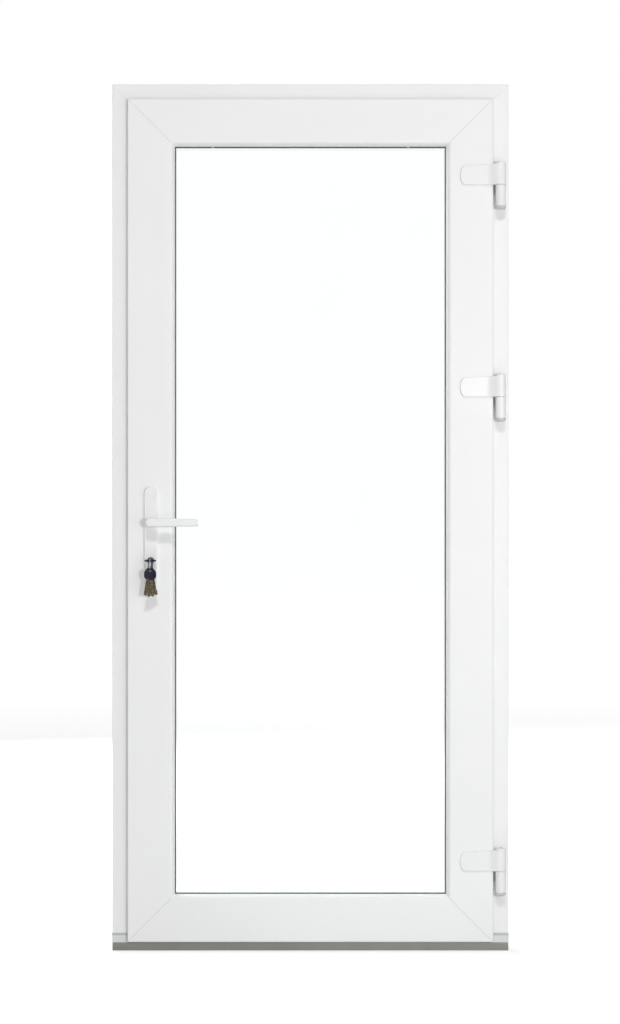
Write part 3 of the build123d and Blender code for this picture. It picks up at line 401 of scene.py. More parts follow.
@dataclass(frozen=True)
class MouldedPlastic(Finish):
    """Plastic moulded in a spark-eroded tool.

    The eye sees an even fine grain that spreads the highlight, with handling shine in places.
    """

    grain_mm: float = 0.7
    grain_depth_mm: float = 0.03
    wear_mm: float = 7.0

    def paint(self, surface: Surface) -> None:
        """Adds the grain and the shine of wear."""
        grain = surface.cloud((self.grain_mm,) * 3, 2.0)
        worn = surface.cloud((self.wear_mm,) * 3, 2.0)
        surface.tint(worn)
        surface.gloss(worn)
        surface.relief((grain, self.grain_depth_mm))


PLASTIC_IOR = 1.53
FINISHES = {
    Role.UPRIGHT_PVC: ExtrudedPvc("#F2F2F3", "#EEEEEF", 0.46, ior=PLASTIC_IOR),
    Role.LEVEL_PVC: ExtrudedPvc("#F2F2F3", "#EEEEEF", 0.46, ior=PLASTIC_IOR, run=Run.LEVEL),
    Role.MOULDED_PVC: MouldedPlastic("#EDEDEF", "#E8E8EA", 0.42, ior=PLASTIC_IOR, grain_depth_mm=0.012),
    Role.CONNECTOR_PVC: MouldedPlastic("#DFE0E0", "#D8DADA", 0.46, ior=PLASTIC_IOR),
    Role.WELD_PVC: MouldedPlastic("#D6D6D7", "#CECED0", 0.6, ior=PLASTIC_IOR),
    # grey pads that paint the shade line where the jambs meet the connectors
    Role.PAD_PVC: MouldedPlastic("#C3C4C3", "#BBBCBA", 0.5, ior=PLASTIC_IOR),
    Role.COATED_ZINC: PowderCoat("#F1F1F2", "#EDEDEE", 0.33),
    # dark grey for aluminium: painted shade and a painted dark reflection over the satin metal
    Role.ALUMINIUM: DrawnMetal("#81827E", "#6C6D68", 0.42),
    Role.SPACER: DrawnMetal("#C9CBCC", "#B9BBBC", 0.38, run=Run.UPRIGHT),
    Role.GLASS: FloatGlass("#FFFFFF", "#FEFFFF", 0.0, ior=1.52),
    Role.RUBBER: SoftSeal("#5B5C58", "#50514D", 0.62),
    Role.BLACK_RUBBER: SoftSeal("#2F302E", "#242523", 0.66),
    Role.PILE: MouldedPlastic("#5C5D5E", "#4A4B4C", 0.7),
    # grey caps on the hinge barrels: painted shade on their downward chamfers
    Role.CAP_PLASTIC: MouldedPlastic("#CBCCCA", "#C3C4C2", 0.4, ior=PLASTIC_IOR),
    Role.PLATED_STEEL: PlatedSteel("#C4C6C9", "#AEB1B5", 0.32),
    # brass that darkens to near black in small patches: real milling streaks, and painted shade for the dark
    # gaps between the blades
    Role.KEY_METAL: DrawnMetal(
        "#6F6751", "#15130E", 0.3, run=Run.UPRIGHT, line_mm=1.7, blotch_and_shade_mm=5.0, reach=0.16
    ),
    # dark grey for nickel brass: painted shade, the cylinder face in the shadow of the key
    Role.CYLINDER_METAL: DrawnMetal("#6A6760", "#47453F", 0.3, run=Run.OUTWARD, line_mm=0.5, blotch_and_shade_mm=9.0),
    Role.RING_STEEL: DrawnMetal("#B5B7BA", "#9C9EA2", 0.22, run=Run.UPRIGHT, line_mm=0.4, blotch_and_shade_mm=5.0),
    Role.KEY_PLASTIC: MouldedPlastic("#0B0C33", "#06071C", 0.5, ior=PLASTIC_IOR, specular=0.2),
}


@dataclass
class Paintshop:
    """Makes each material once and puts it on pieces and CAD nodes."""

    made: dict[Role, Material] = field(default_factory=dict)

    def material(self, role: Role) -> Material:
        """Returns the material of a role, made the first time that it is asked for."""
        if role not in self.made:
            self.made[role] = FINISHES[role].make(role.value)
        return self.made[role]

    def dress(self, piece: Piece, role: Role) -> None:
        """Gives every slot of a piece the material of a role."""
        if not piece.material_slots:
            piece.data.materials.append(self.material(role))
        for held in piece.material_slots:
            held.material = self.material(role)

    def dress_nodes(self, names: Iterable[str], role: Role) -> None:
        """Gives CAD nodes the material of a role and reports them."""
        for name in names:
            self.dress(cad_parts[name], role)
            log.info("%s: %s", name, role.value)

    def release(self, piece: Piece, role: Role, slot: str, body: str, node: str | None = None) -> None:
        """Gives a finished piece its material and its place in the part, and reports it.

        Args:
            piece: The finished piece.
            role: What it is made of.
            slot: The record's material slot; not used.
            body: The body that it rides.
            node: The CAD node that it replaces, if any.
        """
        self.dress(piece, role)
        if node:
            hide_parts(node)
        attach(piece, body)
        log.info("%s: %d faces", piece.name, len(piece.data.polygons))


class Bench:
    """Starts pieces from primitives, picks their faces and edges, and finishes them."""

    @staticmethod
    def clear() -> None:
        """Deselects everything."""
        bpy.ops.object.select_all(action="DESELECT")

    @staticmethod
    def fixed() -> Piece:
        """Returns the primitive just added, with its place and size taken into its mesh."""
        bpy.ops.object.transform_apply(location=True, rotation=True, scale=True)
        return bpy.context.object

    @staticmethod
    def block(size: Vector, middle: Vector) -> Piece:
        """Starts a block of a size in metres, round its middle."""
        Bench.clear()
        bpy.ops.mesh.primitive_cube_add(size=1.0, location=middle, scale=size)
        return Bench.fixed()

    @staticmethod
    def disc(radius: float, thickness: float, middle: Vector, sides: int = 40) -> Piece:
        """Starts an upright disc or rod in metres, round its middle."""
        Bench.clear()
        bpy.ops.mesh.primitive_cylinder_add(vertices=sides, radius=radius, depth=thickness, location=middle)
        return Bench.fixed()

    @staticmethod
    def take(piece: Piece) -> None:
        """Makes a piece the only selected one, and the active one."""
        Bench.clear()
        bpy.context.view_layer.objects.active = piece
        piece.select_set(True)

    @staticmethod
    def edit(piece: Piece, kind: str, picked: list[bool]) -> None:
        """Opens a piece for editing with only some parts of one kind picked.

        Args:
            piece: The piece to edit.
            kind: What is picked: "vertices", "edges" or "polygons".
            picked: For each part of that kind, whether it is picked.
        """
        Bench.take(piece)
        kinds = ("vertices", "edges", "polygons")
        for name in kinds:
            parts = getattr(piece.data, name)
            parts.foreach_set("select", picked if name == kind else [False] * len(parts))
        bpy.context.tool_settings.mesh_select_mode = tuple(name == kind for name in kinds)
        bpy.ops.object.mode_set(mode="EDIT")

    @staticmethod
    def pick_faces(piece: Piece, wanted: Callable[[Vector, Vector], bool]) -> None:
        """Opens a piece for editing with some faces picked, by their centre and normal."""
        Bench.edit(piece, "polygons", [wanted(face.center, face.normal) for face in piece.data.polygons])

    @staticmethod
    def pick_points(piece: Piece, wanted: Callable[[Vector], bool]) -> None:
        """Opens a piece for editing with some points picked, by their place."""
        Bench.edit(piece, "vertices", [wanted(point.co) for point in piece.data.vertices])

    @staticmethod
    def pick_edges(piece: Piece, wanted: Callable[[Vector, Vector], bool]) -> None:
        """Opens a piece for editing with some edges picked, by the places of their two ends."""
        mesh = piece.data
        ends = [[mesh.vertices[number].co for number in edge.vertices] for edge in mesh.edges]
        Bench.edit(piece, "edges", [wanted(*pair) for pair in ends])

    @staticmethod
    def done() -> None:
        """Closes the piece that is being edited."""
        bpy.ops.object.mode_set(mode="OBJECT")

    @staticmethod
    def apply(piece: Piece, kind: str, settings: dict[str, object]) -> None:
        """Puts a modifier on a piece and applies it.

        Args:
            piece: The piece to change.
            kind: The modifier's type, such as "BEVEL".
            settings: The modifier's values by name.
        """
        Bench.take(piece)
        modifier = piece.modifiers.new(kind.lower(), kind)
        for name, value in settings.items():
            setattr(modifier, name, value)
        bpy.ops.object.modifier_apply(modifier=modifier.name)

    @staticmethod
    def cut(piece: Piece, tool: Piece) -> None:
        """Takes a tool's shape out of a piece and puts the tool away."""
        Bench.apply(piece, "BOOLEAN", {"operation": "DIFFERENCE", "object": tool, "solver": "EXACT"})
        bpy.data.objects.remove(tool)
        Bench.pick_points(piece, lambda point: True)
        bpy.ops.mesh.remove_doubles(threshold=MERGE_DISTANCE)
        bpy.ops.mesh.dissolve_limited(angle_limit=FLAT_ANGLE)
        Bench.done()

    @staticmethod
    def soften(piece: Piece, width: float, segments: int = 3) -> None:
        """Rounds a piece's sharp edges and shades it smooth up to them."""
        Bench.apply(
            piece,
            "BEVEL",
            {"width": width, "segments": segments, "limit_method": "ANGLE", "angle_limit": SHARP_ANGLE},
        )
        bpy.ops.object.shade_smooth_by_angle(angle=SMOOTH_ANGLE)

    @staticmethod
    def copy(piece: Piece, place: Matrix) -> Piece:
        """Copies a piece with its own mesh, with the move made in the mesh.

        Args:
            piece: The piece to copy, modelled at the origin.
            place: Where the copy goes.

        Returns:
            The copy.
        """
        twin = piece.copy()
        twin.data = piece.data.copy()
        bpy.context.scene.collection.objects.link(twin)
        twin.data.transform(place)
        return twin

    @staticmethod
    def join(pieces: list[Piece]) -> Piece:
        """Joins pieces into the first one."""
        Bench.clear()
        for piece in pieces:
            piece.select_set(True)
        bpy.context.view_layer.objects.active = pieces[0]
        if len(pieces) > 1:
            bpy.ops.object.join()
        return pieces[0]

    @staticmethod
    def spread(pattern: Piece, places: Iterable[Matrix], name: str) -> Piece:
        """Copies a pattern piece to each place, joins the copies, and puts the pattern away.

        Args:
            pattern: The piece modelled once at the origin.
            places: Where the copies go.
            name: Name of the joined piece.

        Returns:
            The joined piece.
        """
        joined = Bench.join([Bench.copy(pattern, place) for place in places])
        bpy.data.objects.remove(pattern)
        joined.name = name
        return joined


def facing(direction: Vector, place: Vector, turn: float = 0.0) -> Matrix:
    """Place of a piece modelled upright at the origin, so that its top faces a direction.

    Args:
        direction: Where the piece's top faces.
        place: Where its origin goes, in metres.
        turn: Turn about its own axis first, in radians.

    Returns:
        The matrix of that place.
    """
    tilt = UP.rotation_difference(direction).to_matrix().to_4x4()
    return Matrix.Translation(place) @ tilt @ Matrix.Rotation(turn, 4, "Z")


@dataclass(frozen=True)
class CrossScrew:
    """Head of a countersunk screw with a cross recess."""

    radius: float
    crown: float = 0.6 * MM
    depth: float = 1.6 * MM
    recess_share: float = 0.52
    wing_share: float = 0.42
    foot_share: float = 0.55
    crown_shares: tuple[float, float] = (0.12, 0.2)
    recess_floor: tuple[float, float] = (0.5, 0.7)

    def model(self) -> Piece:
        """Models the head with its rim at the height of the surface that it sits in.

        Returns:
            The head at the origin, facing up.
        """
        head = Bench.disc(self.radius, self.depth, Vector((0, 0, -self.depth / 2)))
        Bench.pick_faces(head, lambda centre, normal: normal.z < -FACING)
        bpy.ops.transform.resize(value=(self.foot_share, self.foot_share, 1.0))
        Bench.done()
        Bench.pick_faces(head, lambda centre, normal: normal.z > FACING)
        for share in self.crown_shares:
            bpy.ops.mesh.inset(thickness=self.radius * share)
            bpy.ops.transform.translate(value=(0, 0, self.crown / 2))
        Bench.done()
        wing = self.radius * self.recess_share
        for turn in (radians(45), radians(135)):
            size = Vector((2 * wing, wing * self.wing_share, self.depth))
            slot = Bench.block(size, Vector((0, 0, self.crown)))
            Bench.pick_points(slot, lambda point: point.z < 0)
            bpy.ops.transform.resize(value=(*self.recess_floor, 1.0))
            Bench.done()
            slot.data.transform(Matrix.Rotation(turn, 4, "Z"))
            Bench.cut(head, slot)
        Bench.soften(head, 0.12 * MM, 2)
        return head


@dataclass(frozen=True)
class SocketPlug:
    """Round plug with a hexagon socket, which sets a hinge's height."""

    radius: float = 4.6 * MM
    height: float = 0.9 * MM
    socket: float = 2.3 * MM
    inset_share: float = 0.2
    crown_share: float = 0.3
    socket_share: float = 1.3

    def model(self) -> Piece:
        """Returns the plug at the origin, standing on its surface and facing up."""
        plug = Bench.disc(self.radius, self.height * 2, ORIGIN)
        Bench.pick_faces(plug, lambda centre, normal: normal.z > FACING)
        bpy.ops.mesh.inset(thickness=self.radius * self.inset_share)
        bpy.ops.transform.translate(value=(0, 0, self.height * self.crown_share))
        Bench.done()
        middle = Vector((0, 0, self.height * self.socket_share))
        Bench.cut(plug, Bench.disc(self.socket, self.height * 2, middle, 6))
        Bench.soften(plug, 0.15 * MM, 2)
        return plug


@dataclass
class FrameAssembly:
    """Frame, threshold and keeps, with their screws, and grey pads under the jambs that paint the shade line
    above the connectors.
    """

    shop: Paintshop
    keep_levels: tuple[float, ...] = (0.406, 0.450, 0.950, 1.086, 1.626, 1.670)
    keep_face: float = -0.431
    keep_screw_gap: float = 0.0004
    keep_screw_turn: float = 40.0
    fitting_depth: float = -0.013
    end_face: float = 0.480
    end_screw_depths: tuple[float, ...] = (-0.020, 0.012)
    end_screw_height: float = 0.010
    end_screw_turn: float = 90.0
    pad_height: float = 6.0 * MM
    pad_thickness: float = 1.0 * MM
    pad_sink: float = 0.4  # how far its middle lies behind the connector's face, in thicknesses
    pad_inner: float = 0.4445
    pad_outer: float = 0.4806

    def dress(self) -> None:
        """Dresses the profiles, the threshold and the seals."""
        self.shop.dress_nodes(("frame_jamb_lock_side", "frame_jamb_hinge_side"), Role.UPRIGHT_PVC)
        self.shop.dress_nodes(("frame_head",), Role.LEVEL_PVC)
        self.shop.dress_nodes(
            ("threshold_connector_lock_side", "threshold_connector_hinge_side"), Role.CONNECTOR_PVC
        )
        # threshold and end plates get the aluminium with painted shade and dark reflection
        self.shop.dress_nodes(
            ("threshold", "threshold_end_plate_lock_side", "threshold_end_plate_hinge_side"),
            Role.ALUMINIUM,
        )
        self.shop.dress_nodes(("frame_seal",), Role.BLACK_RUBBER)
        self.shop.dress_nodes(("keep_main", "keep_lower", "keep_upper"), Role.PLATED_STEEL)

    def keep_screws(self) -> Piece:
        """Returns the screws that hold the keeps on the lock jamb."""
        places = []
        for level in self.keep_levels:
            middle = Vector((self.keep_face - self.keep_screw_gap, self.fitting_depth, level))
            places.append(facing(Vector((1, 0, 0)), middle, level * self.keep_screw_turn))
        return Bench.spread(CrossScrew(radius=3.9 * MM, crown=0.3 * MM).model(), places, "keep_screws")

    def end_plate_screws(self) -> Piece:
        """Returns the screws in the threshold's two end plates."""
        places = []
        for side in (-1, 1):
            for depth in self.end_screw_depths:
                end = Vector((side * self.end_face, depth, self.end_screw_height))
                places.append(facing(Vector((side, 0, 0)), end, depth * self.end_screw_turn))
        return Bench.spread(CrossScrew(radius=3.2 * MM, crown=0.5 * MM).model(), places, "end_plate_screws")

    def connector_shade_pads(self) -> Piece:
        """Returns grey pads between the two connectors and the jambs, in front: painted shade for the dark
        band where they meet.
        """
        low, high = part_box("threshold_connector_lock_side")
        size = Vector((self.pad_outer - self.pad_inner, self.pad_thickness, self.pad_height))
        across = (self.pad_outer + self.pad_inner) / 2
        pads = []
        for side in (-1, 1):
            middle = Vector((side * across, low.y + size.y * self.pad_sink, high.z - size.z / 2))
            pad = Bench.block(size, middle)
            Bench.soften(pad, 0.2 * MM, 2)
            pads.append(pad)
        joined = Bench.join(pads)
        joined.name = "connector_shade_pads"
        return joined

    def build(self) -> None:
        """Builds and dresses the assembly."""
        self.dress()
        # the grey pads are painted shade under the jambs
        self.shop.release(self.connector_shade_pads(), Role.PAD_PVC, "white_upvc", "frame")
        for screws in (self.keep_screws(), self.end_plate_screws()):
            self.shop.release(screws, Role.PLATED_STEEL, "plated_steel", "frame")


@dataclass
class LeafAssembly:
    """Leaf profiles with their weld seams, glass unit, gaskets and brush."""

    shop: Paintshop
    tab_places: tuple[float, ...] = (-0.237, 0.237)
    tab_height: float = 1.9470
    tab_size_mm: Triple = (3.6, 2.4, 1.8)
    tab_chamfer: float = 0.6 * MM
    tab_rise: float = 0.3 * MM
    gasket_face: float = -0.036
    seam_start: float = 3.0 * MM
    seam_end: float = 106.0 * MM
    seam_width: float = 1.1 * MM
    seam_depth: float = 0.5 * MM
    seam_sink: float = 0.2 * MM
    strip_height: float = 3.4 * MM
    strip_wall: float = 4.6 * MM
    strip_channel: float = 1.2 * MM
    pile_pitch: float = 2.3 * MM
    pile_rows: tuple[float, ...] = (-14.7 * MM, -13.0 * MM, -11.3 * MM)
    pile_margin: float = 2 * MM
    tuft_root: float = 1.0 * MM
    tuft_root_radius: float = 0.95 * MM
    tuft_tip_radius: float = 0.55 * MM
    tuft_bend: float = 0.25 * MM
    tuft_lean: float = 0.05
    tuft_wave: float = 2.7  # steps of angle that keep neighbouring tufts apart in lean and turn
    tuft_turn: float = 1.9

    def dress(self) -> None:
        """Dresses the profiles, the glass and the seals."""
        self.shop.dress_nodes(
            ("leaf_stile_lock_side", "leaf_stile_hinge_side", "bead_lock_side", "bead_hinge_side"),
            Role.UPRIGHT_PVC,
        )
        rails = ("leaf_rail_top", "leaf_rail_bottom", "bead_top", "bead_bottom")
        self.shop.dress_nodes(rails, Role.LEVEL_PVC)
        self.shop.dress_nodes(("glass_outer_pane", "glass_inner_pane"), Role.GLASS)
        self.shop.dress_nodes(("glass_spacer",), Role.SPACER)
        self.shop.dress_nodes(("gasket_outer", "gasket_inner"), Role.RUBBER)
        self.shop.dress_nodes(("leaf_seal",), Role.BLACK_RUBBER)

    def brush(self) -> list[Piece]:
        """Models the brush under the bottom rail: its strip and its pile of bristle tufts.

        Returns:
            The strip and the pile.
        """
        low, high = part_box("bottom_brush")
        strip_bottom = high.z - self.strip_height
        middle = (low + high) / 2
        size = Vector((high.x - low.x, high.y - low.y, high.z - strip_bottom))
        strip = Bench.block(size, Vector((middle.x, middle.y, high.z - size.z / 2)))
        Bench.pick_faces(strip, lambda centre, normal: normal.z < -FACING)
        bpy.ops.mesh.inset(thickness=self.strip_wall)
        bpy.ops.transform.translate(value=(0, 0, self.strip_channel))
        Bench.done()
        Bench.soften(strip, 0.3 * MM, 2)
        strip.name = "brush_strip"
        long = strip_bottom - low.z + self.tuft_root
        Bench.clear()
        bpy.ops.mesh.primitive_cone_add(
            vertices=5,
            radius1=self.tuft_tip_radius,
            radius2=self.tuft_root_radius,
            depth=long,
            location=(0, 0, -long / 2),
        )
        tuft = Bench.fixed()
        Bench.pick_faces(tuft, lambda centre, normal: normal.z < -FACING)
        bpy.ops.transform.translate(value=(self.tuft_bend, 0, 0))
        Bench.done()
        count = int((high.x - low.x - 2 * self.pile_margin) / self.pile_pitch)
        places = []
        for row, depth in enumerate(self.pile_rows):
            for number in range(count):
                across = low.x + self.pile_margin + (number + row / 3) * self.pile_pitch
                lean = Matrix.Rotation(self.tuft_lean * sin(number * self.tuft_wave + row), 4, "X")
                root = Matrix.Translation((across, depth, strip_bottom + self.tuft_root))
                places.append(root @ Matrix.Rotation(number * self.tuft_turn, 4, "Z") @ lean)
        return [strip, Bench.spread(tuft, places, "brush_pile")]

    def weld_seams(self) -> Piece:
        """Returns the four trimmed weld seams that lie in the grooves of the leaf's front mitres."""
        long = (self.seam_end - self.seam_start) * sqrt(2)
        seam = Bench.block(Vector((long, self.seam_depth, self.seam_width)), ORIGIN)
        low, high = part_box("leaf_rail_top")
        middle = (self.seam_start + self.seam_end) / 2
        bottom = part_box("leaf_rail_bottom")[0].z
        places = []
        for side in (-1, 1):
            for edge, rise in ((high.z, -1), (bottom, 1)):
                across = side * (high.x - middle)
                centre = Vector((across, low.y + self.seam_sink, edge + rise * middle))
                places.append(Matrix.Translation(centre) @ Matrix.Rotation(side * rise * pi / 4, 4, "Y"))
        return Bench.spread(seam, places, "weld_seams")

    def glazing_tabs(self) -> Piece:
        """Returns the two small tabs that close the vents of the gasket under the top rail."""
        tab = Bench.block(Vector(self.tab_size_mm) * MM, ORIGIN)
        Bench.pick_faces(tab, lambda centre, normal: normal.z > FACING)
        bpy.ops.mesh.inset(thickness=self.tab_chamfer)
        bpy.ops.transform.translate(value=(0, 0, self.tab_rise))
        Bench.done()
        Bench.soften(tab, 0.2 * MM)
        places = [
            facing(OUTWARD, Vector((across, self.gasket_face, self.tab_height)))
            for across in self.tab_places
        ]
        return Bench.spread(tab, places, "glazing_tabs")

    def build(self) -> None:
        """Builds and dresses the assembly."""
        self.dress()
        for piece in self.brush():
            self.shop.release(piece, Role.PILE, "seal_rubber", "leaf", "bottom_brush")
        self.shop.release(self.glazing_tabs(), Role.MOULDED_PVC, "white_upvc", "leaf")
        self.shop.release(self.weld_seams(), Role.WELD_PVC, "white_upvc", "leaf")


@dataclass
class HingeSet:
    """Three hinges with their adjusting plugs, and end caps that are grey to paint the shade under the
    barrels.
    """

    shop: Paintshop
    places: tuple[str, ...] = ("lower", "middle", "upper")
    axis: tuple[float, float] = (0.4595, -0.0605)
    barrel_radius: float = 12.5 * MM
    cap_length: float = 7.9 * MM
    cap_chamfer: float = 2.7 * MM
    cap_proud: float = 0.15 * MM

    def plugs(self, part: str, upward: bool) -> Piece:
        """Models the plugs at one end of the three barrels.

        Args:
            part: Which half of the hinges carries them, "leaf" or "frame".
            upward: Whether the plugs face up.

        Returns:
            The three plugs as one piece.
        """
        ends = []
        for place in self.places:
            low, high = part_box(f"hinge_{place}_{part}_part")
            height = high.z if upward else low.z
            direction = UP if upward else -UP
            ends.append(facing(direction, Vector((*self.axis, height))))
        return Bench.spread(SocketPlug().model(), ends, f"hinge_plugs_{part}")

    def caps(self) -> Piece:
        """Returns the chamfered caps that close the three barrels from below, grey to paint the shade on
        their downward chamfers.
        """
        length = self.cap_length + self.cap_proud
        middle = Vector((0, 0, self.cap_proud - length / 2))
        cap = Bench.disc(self.barrel_radius + self.cap_proud, length, middle, 64)
        Bench.pick_edges(cap, lambda one, other: min(one.z, other.z) > 0)
        bpy.ops.mesh.bevel(offset=self.cap_chamfer, offset_type="OFFSET", segments=1, affect="EDGES")
        Bench.done()
        Bench.soften(cap, 0.3 * MM, 2)
        ends = [
            facing(-UP, Vector((*self.axis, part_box(f"hinge_{place}_frame_part")[0].z)))
            for place in self.places
        ]
        return Bench.spread(cap, ends, "hinge_shade_caps")

    def build(self) -> None:
        """Builds and dresses the hinges."""
        nodes = [f"hinge_{place}_{part}_part" for place in self.places for part in ("frame", "leaf")]
        self.shop.dress_nodes(nodes, Role.COATED_ZINC)
        for part, upward in (("leaf", True), ("frame", False)):
            self.shop.release(self.plugs(part, upward), Role.PLATED_STEEL, "plated_steel", part)
        # the caps are grey as painted shade
        self.shop.release(self.caps(), Role.CAP_PLASTIC, "hinge_white", "frame")


@dataclass
class HandleSet:
    """Levers, spindle and plates, with the screws in the inside plate."""

    shop: Paintshop
    screw_levels: tuple[float, ...] = (0.8985, 1.1065)
    screw_turn: float = 9.0
    axis_x: float = -0.385

    def build(self) -> None:
        """Builds and dresses the set."""
        self.shop.dress_nodes(
            ("backplate_outside", "backplate_inside", "lever_outside", "lever_inside"), Role.COATED_ZINC
        )
        self.shop.dress_nodes(("spindle",), Role.PLATED_STEEL)
        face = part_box("backplate_inside")[1].y
        places = [
            facing(-OUTWARD, Vector((self.axis_x, face, level)), level * self.screw_turn)
            for level in self.screw_levels
        ]
        screws = Bench.spread(CrossScrew(radius=4.2 * MM).model(), places, "inside_plate_screws")
        self.shop.release(screws, Role.PLATED_STEEL, "plated_steel", "leaf")


@dataclass
class LockSet:
    """Faceplate, bolts and cylinder in the lock stile."""

    shop: Paintshop
    faceplate_x: float = -0.422
    middle_height: float = 1.038
    screw_spacing: float = 0.240
    screw_count: int = 6
    screw_turn: float = 0.7
    fitting_depth: float = -0.013

    def build(self) -> None:
        """Builds and dresses the lock."""
        bolts = ("lock_faceplate", "latch_bolt", "dead_bolt", "locking_point_lower", "locking_point_upper")
        self.shop.dress_nodes(bolts, Role.PLATED_STEEL)
        # the cylinder's dark grey is painted shade
        self.shop.dress_nodes(("cylinder_body", "cylinder_plug"), Role.CYLINDER_METAL)
        places = []
        for number in range(self.screw_count):
            level = self.middle_height + (number - (self.screw_count - 1) / 2) * self.screw_spacing
            middle = Vector((self.faceplate_x, self.fitting_depth, level))
            places.append(facing(Vector((-1, 0, 0)), middle, number * self.screw_turn))
        screws = Bench.spread(CrossScrew(radius=3.4 * MM).model(), places, "faceplate_screws")
        self.shop.release(screws, Role.PLATED_STEEL, "plated_steel", "leaf")


@dataclass(frozen=True)
class BowShape:
    """Plastic head of a key, modelled flat at the origin with its blade towards -Y."""

    width: float
    length: float
    thickness: float
    top: float
    hole_radius: float
    hole_stretch: float = 0.0
    shoulder: float = 0.45
    foot: float = 0.75
    corner: float = 3.5 * MM
    rim: float = 1.9 * MM
    dish: float = 0.45 * MM
    dish_slope: float = 0.5 * MM
    edge_round: float = 0.35 * MM

    def model(self) -> Piece:
        """Models the head from a six-sided disc: pulled to its outline, rounded, dished and pierced.

        Returns:
            The head, with its ring hole's centre at the origin where hole_stretch is 0.
        """
        bow = Bench.disc(1.0, self.thickness, ORIGIN, 6)
        bow.data.transform(Matrix.Rotation(radians(30), 4, "Z"))  # a corner to each side
        half = self.width / 2
        wide = self.top - self.length * self.shoulder
        levels = (
            (0.5, half * self.shoulder, self.top),
            (0.0, half, wide),
            (-0.5, half * self.foot, self.top - self.length),
        )
        for side in (-1, 1):
            for band, across, level in levels:
                corner = Vector((side * (1.0 if band == 0.0 else 0.5), band * sqrt(3), 0))
                Bench.pick_points(bow, lambda point, corner=corner: (point.xy - corner.xy).length < 0.05)
                bpy.ops.transform.translate(value=(side * across - corner.x, level - corner.y, 0))
                Bench.done()
        Bench.pick_edges(bow, lambda one, other: abs(one.z - other.z) > self.thickness / 2)
        bpy.ops.mesh.bevel(offset=self.corner, offset_type="OFFSET", segments=6, affect="EDGES")
        Bench.done()
        for side in (-1, 1):
            Bench.pick_faces(bow, lambda centre, normal, side=side: normal.z * side > FACING)
            bpy.ops.mesh.inset(thickness=self.rim)
            bpy.ops.mesh.inset(thickness=self.dish_slope)
            bpy.ops.transform.translate(value=(0, 0, -side * self.dish))
            Bench.done()
        drill = Bench.disc(self.hole_radius, self.thickness * 3, ORIGIN, 36)
        if self.hole_stretch:
            Bench.pick_points(drill, lambda point: point.y < -1e-6)
            bpy.ops.transform.translate(value=(0, -self.hole_stretch, 0))
            Bench.done()
        Bench.cut(bow, drill)
        Bench.soften(bow, self.edge_round, 3)
        return bow


@dataclass
class KeySet:
    """Key in the lock, its ring, and the four keys that hang from the ring."""

    shop: Paintshop
    axis_x: float = -0.385
    lock_height: float = 0.946
    bow_end: float = -0.099
    ring_radius: float = 13.5 * MM
    ring_height: float = 0.9363
    ring_depth: float = -0.097
    pitch: float = 4.9 * MM
    hole_sag: float = 1.2 * MM
    fan_start: float = -10.0
    fan_step: float = 8.0
    hanging: int = 4
    hanging_thickness: float = 4.0 * MM
    collar_size: Triple = (11.0 * MM, 3.4 * MM, 5.4 * MM)
    collar_front: float = -0.0712
    collar_chamfer: float = 0.9 * MM
    collar_rise: float = 0.3 * MM

    def lock_bow(self) -> Piece:
        """Returns the head of the key in the lock, lying level."""
        shape = BowShape(
            width=29 * MM,
            length=28 * MM,
            thickness=4.4 * MM,
            top=7 * MM,
            hole_radius=3 * MM,
            hole_stretch=5 * MM,
            rim=1.6 * MM,
        )
        flat = shape.model()
        tilt = Matrix.Rotation(pi, 4, "X")
        place = Matrix.Translation((self.axis_x, self.bow_end + shape.top, self.lock_height))
        return Bench.spread(flat, [place @ tilt], "lock_key_head")

    def collar(self) -> Piece:
        """Returns the moulded collar where the head of the key in the lock meets its blade."""
        size = Vector(self.collar_size)
        collar = Bench.block(size, Vector((self.axis_x, self.collar_front + size.y / 2, self.lock_height)))
        Bench.pick_faces(collar, lambda centre, normal: normal.y > FACING)
        bpy.ops.mesh.inset(thickness=self.collar_chamfer)
        bpy.ops.transform.translate(value=(0, self.collar_rise, 0))
        Bench.done()
        Bench.soften(collar, 0.5 * MM)
        collar.name = "lock_key_collar"
        return collar

    def hanging_bows(self) -> Piece:
        """Returns the heads of the hanging keys, each on the ring's wire and fanned out."""
        shape = BowShape(
            width=26 * MM,
            length=27 * MM,
            thickness=self.hanging_thickness,
            top=5.5 * MM,
            hole_radius=4 * MM,
            rim=1.1 * MM,
        )
        places = []
        for number in range(self.hanging):
            offset = (number - (self.hanging - 1) / 2) * self.pitch
            drop = sqrt(self.ring_radius**2 - offset**2)
            hole = self.ring_height - drop - self.hole_sag
            lean = radians(self.fan_start + self.fan_step * number)
            upright = Matrix.Rotation(radians(90), 4, "X")
            turned = Matrix.Rotation(-lean, 4, "Y")
            where = Matrix.Translation((self.axis_x, self.ring_depth + offset, hole))
            places.append(where @ turned @ upright)
        return Bench.spread(shape.model(), places, "hanging_key_heads")

    def build(self) -> None:
        """Builds and dresses the keys."""
        self.shop.dress_nodes(("lock_key_blade", "hanging_key_blades"), Role.KEY_METAL)
        self.shop.dress_nodes(("key_ring",), Role.RING_STEEL)
        for bow, node, body in (
            (self.lock_bow(), "lock_key_bow", "key"),
            (self.hanging_bows(), "hanging_key_bows", "bunch"),
        ):
            self.shop.release(bow, Role.KEY_PLASTIC, "key_plastic", body, node)
        self.shop.release(self.collar(), Role.KEY_PLASTIC, "key_plastic", "key")


@dataclass(frozen=True)
class Lamp:
    """One square soft lamp, with its place and its side in metres."""

    name: str
    place: Triple
    side: float
    watts: float

    def hang(self, target: Vector) -> None:
        """Hangs the lamp so that it points at a target."""
        data = bpy.data.lights.new(self.name, "AREA")
        data.size = self.side
        data.energy = self.watts
        lamp = bpy.data.objects.new(self.name, data)
        bpy.context.scene.collection.objects.link(lamp)
        place = Vector(self.place)
        lamp.location = place
        lamp.rotation_euler = (target - place).to_track_quat("-Z", "Y").to_euler()
        lamp.visible_camera = False
        lamp.visible_transmission = False


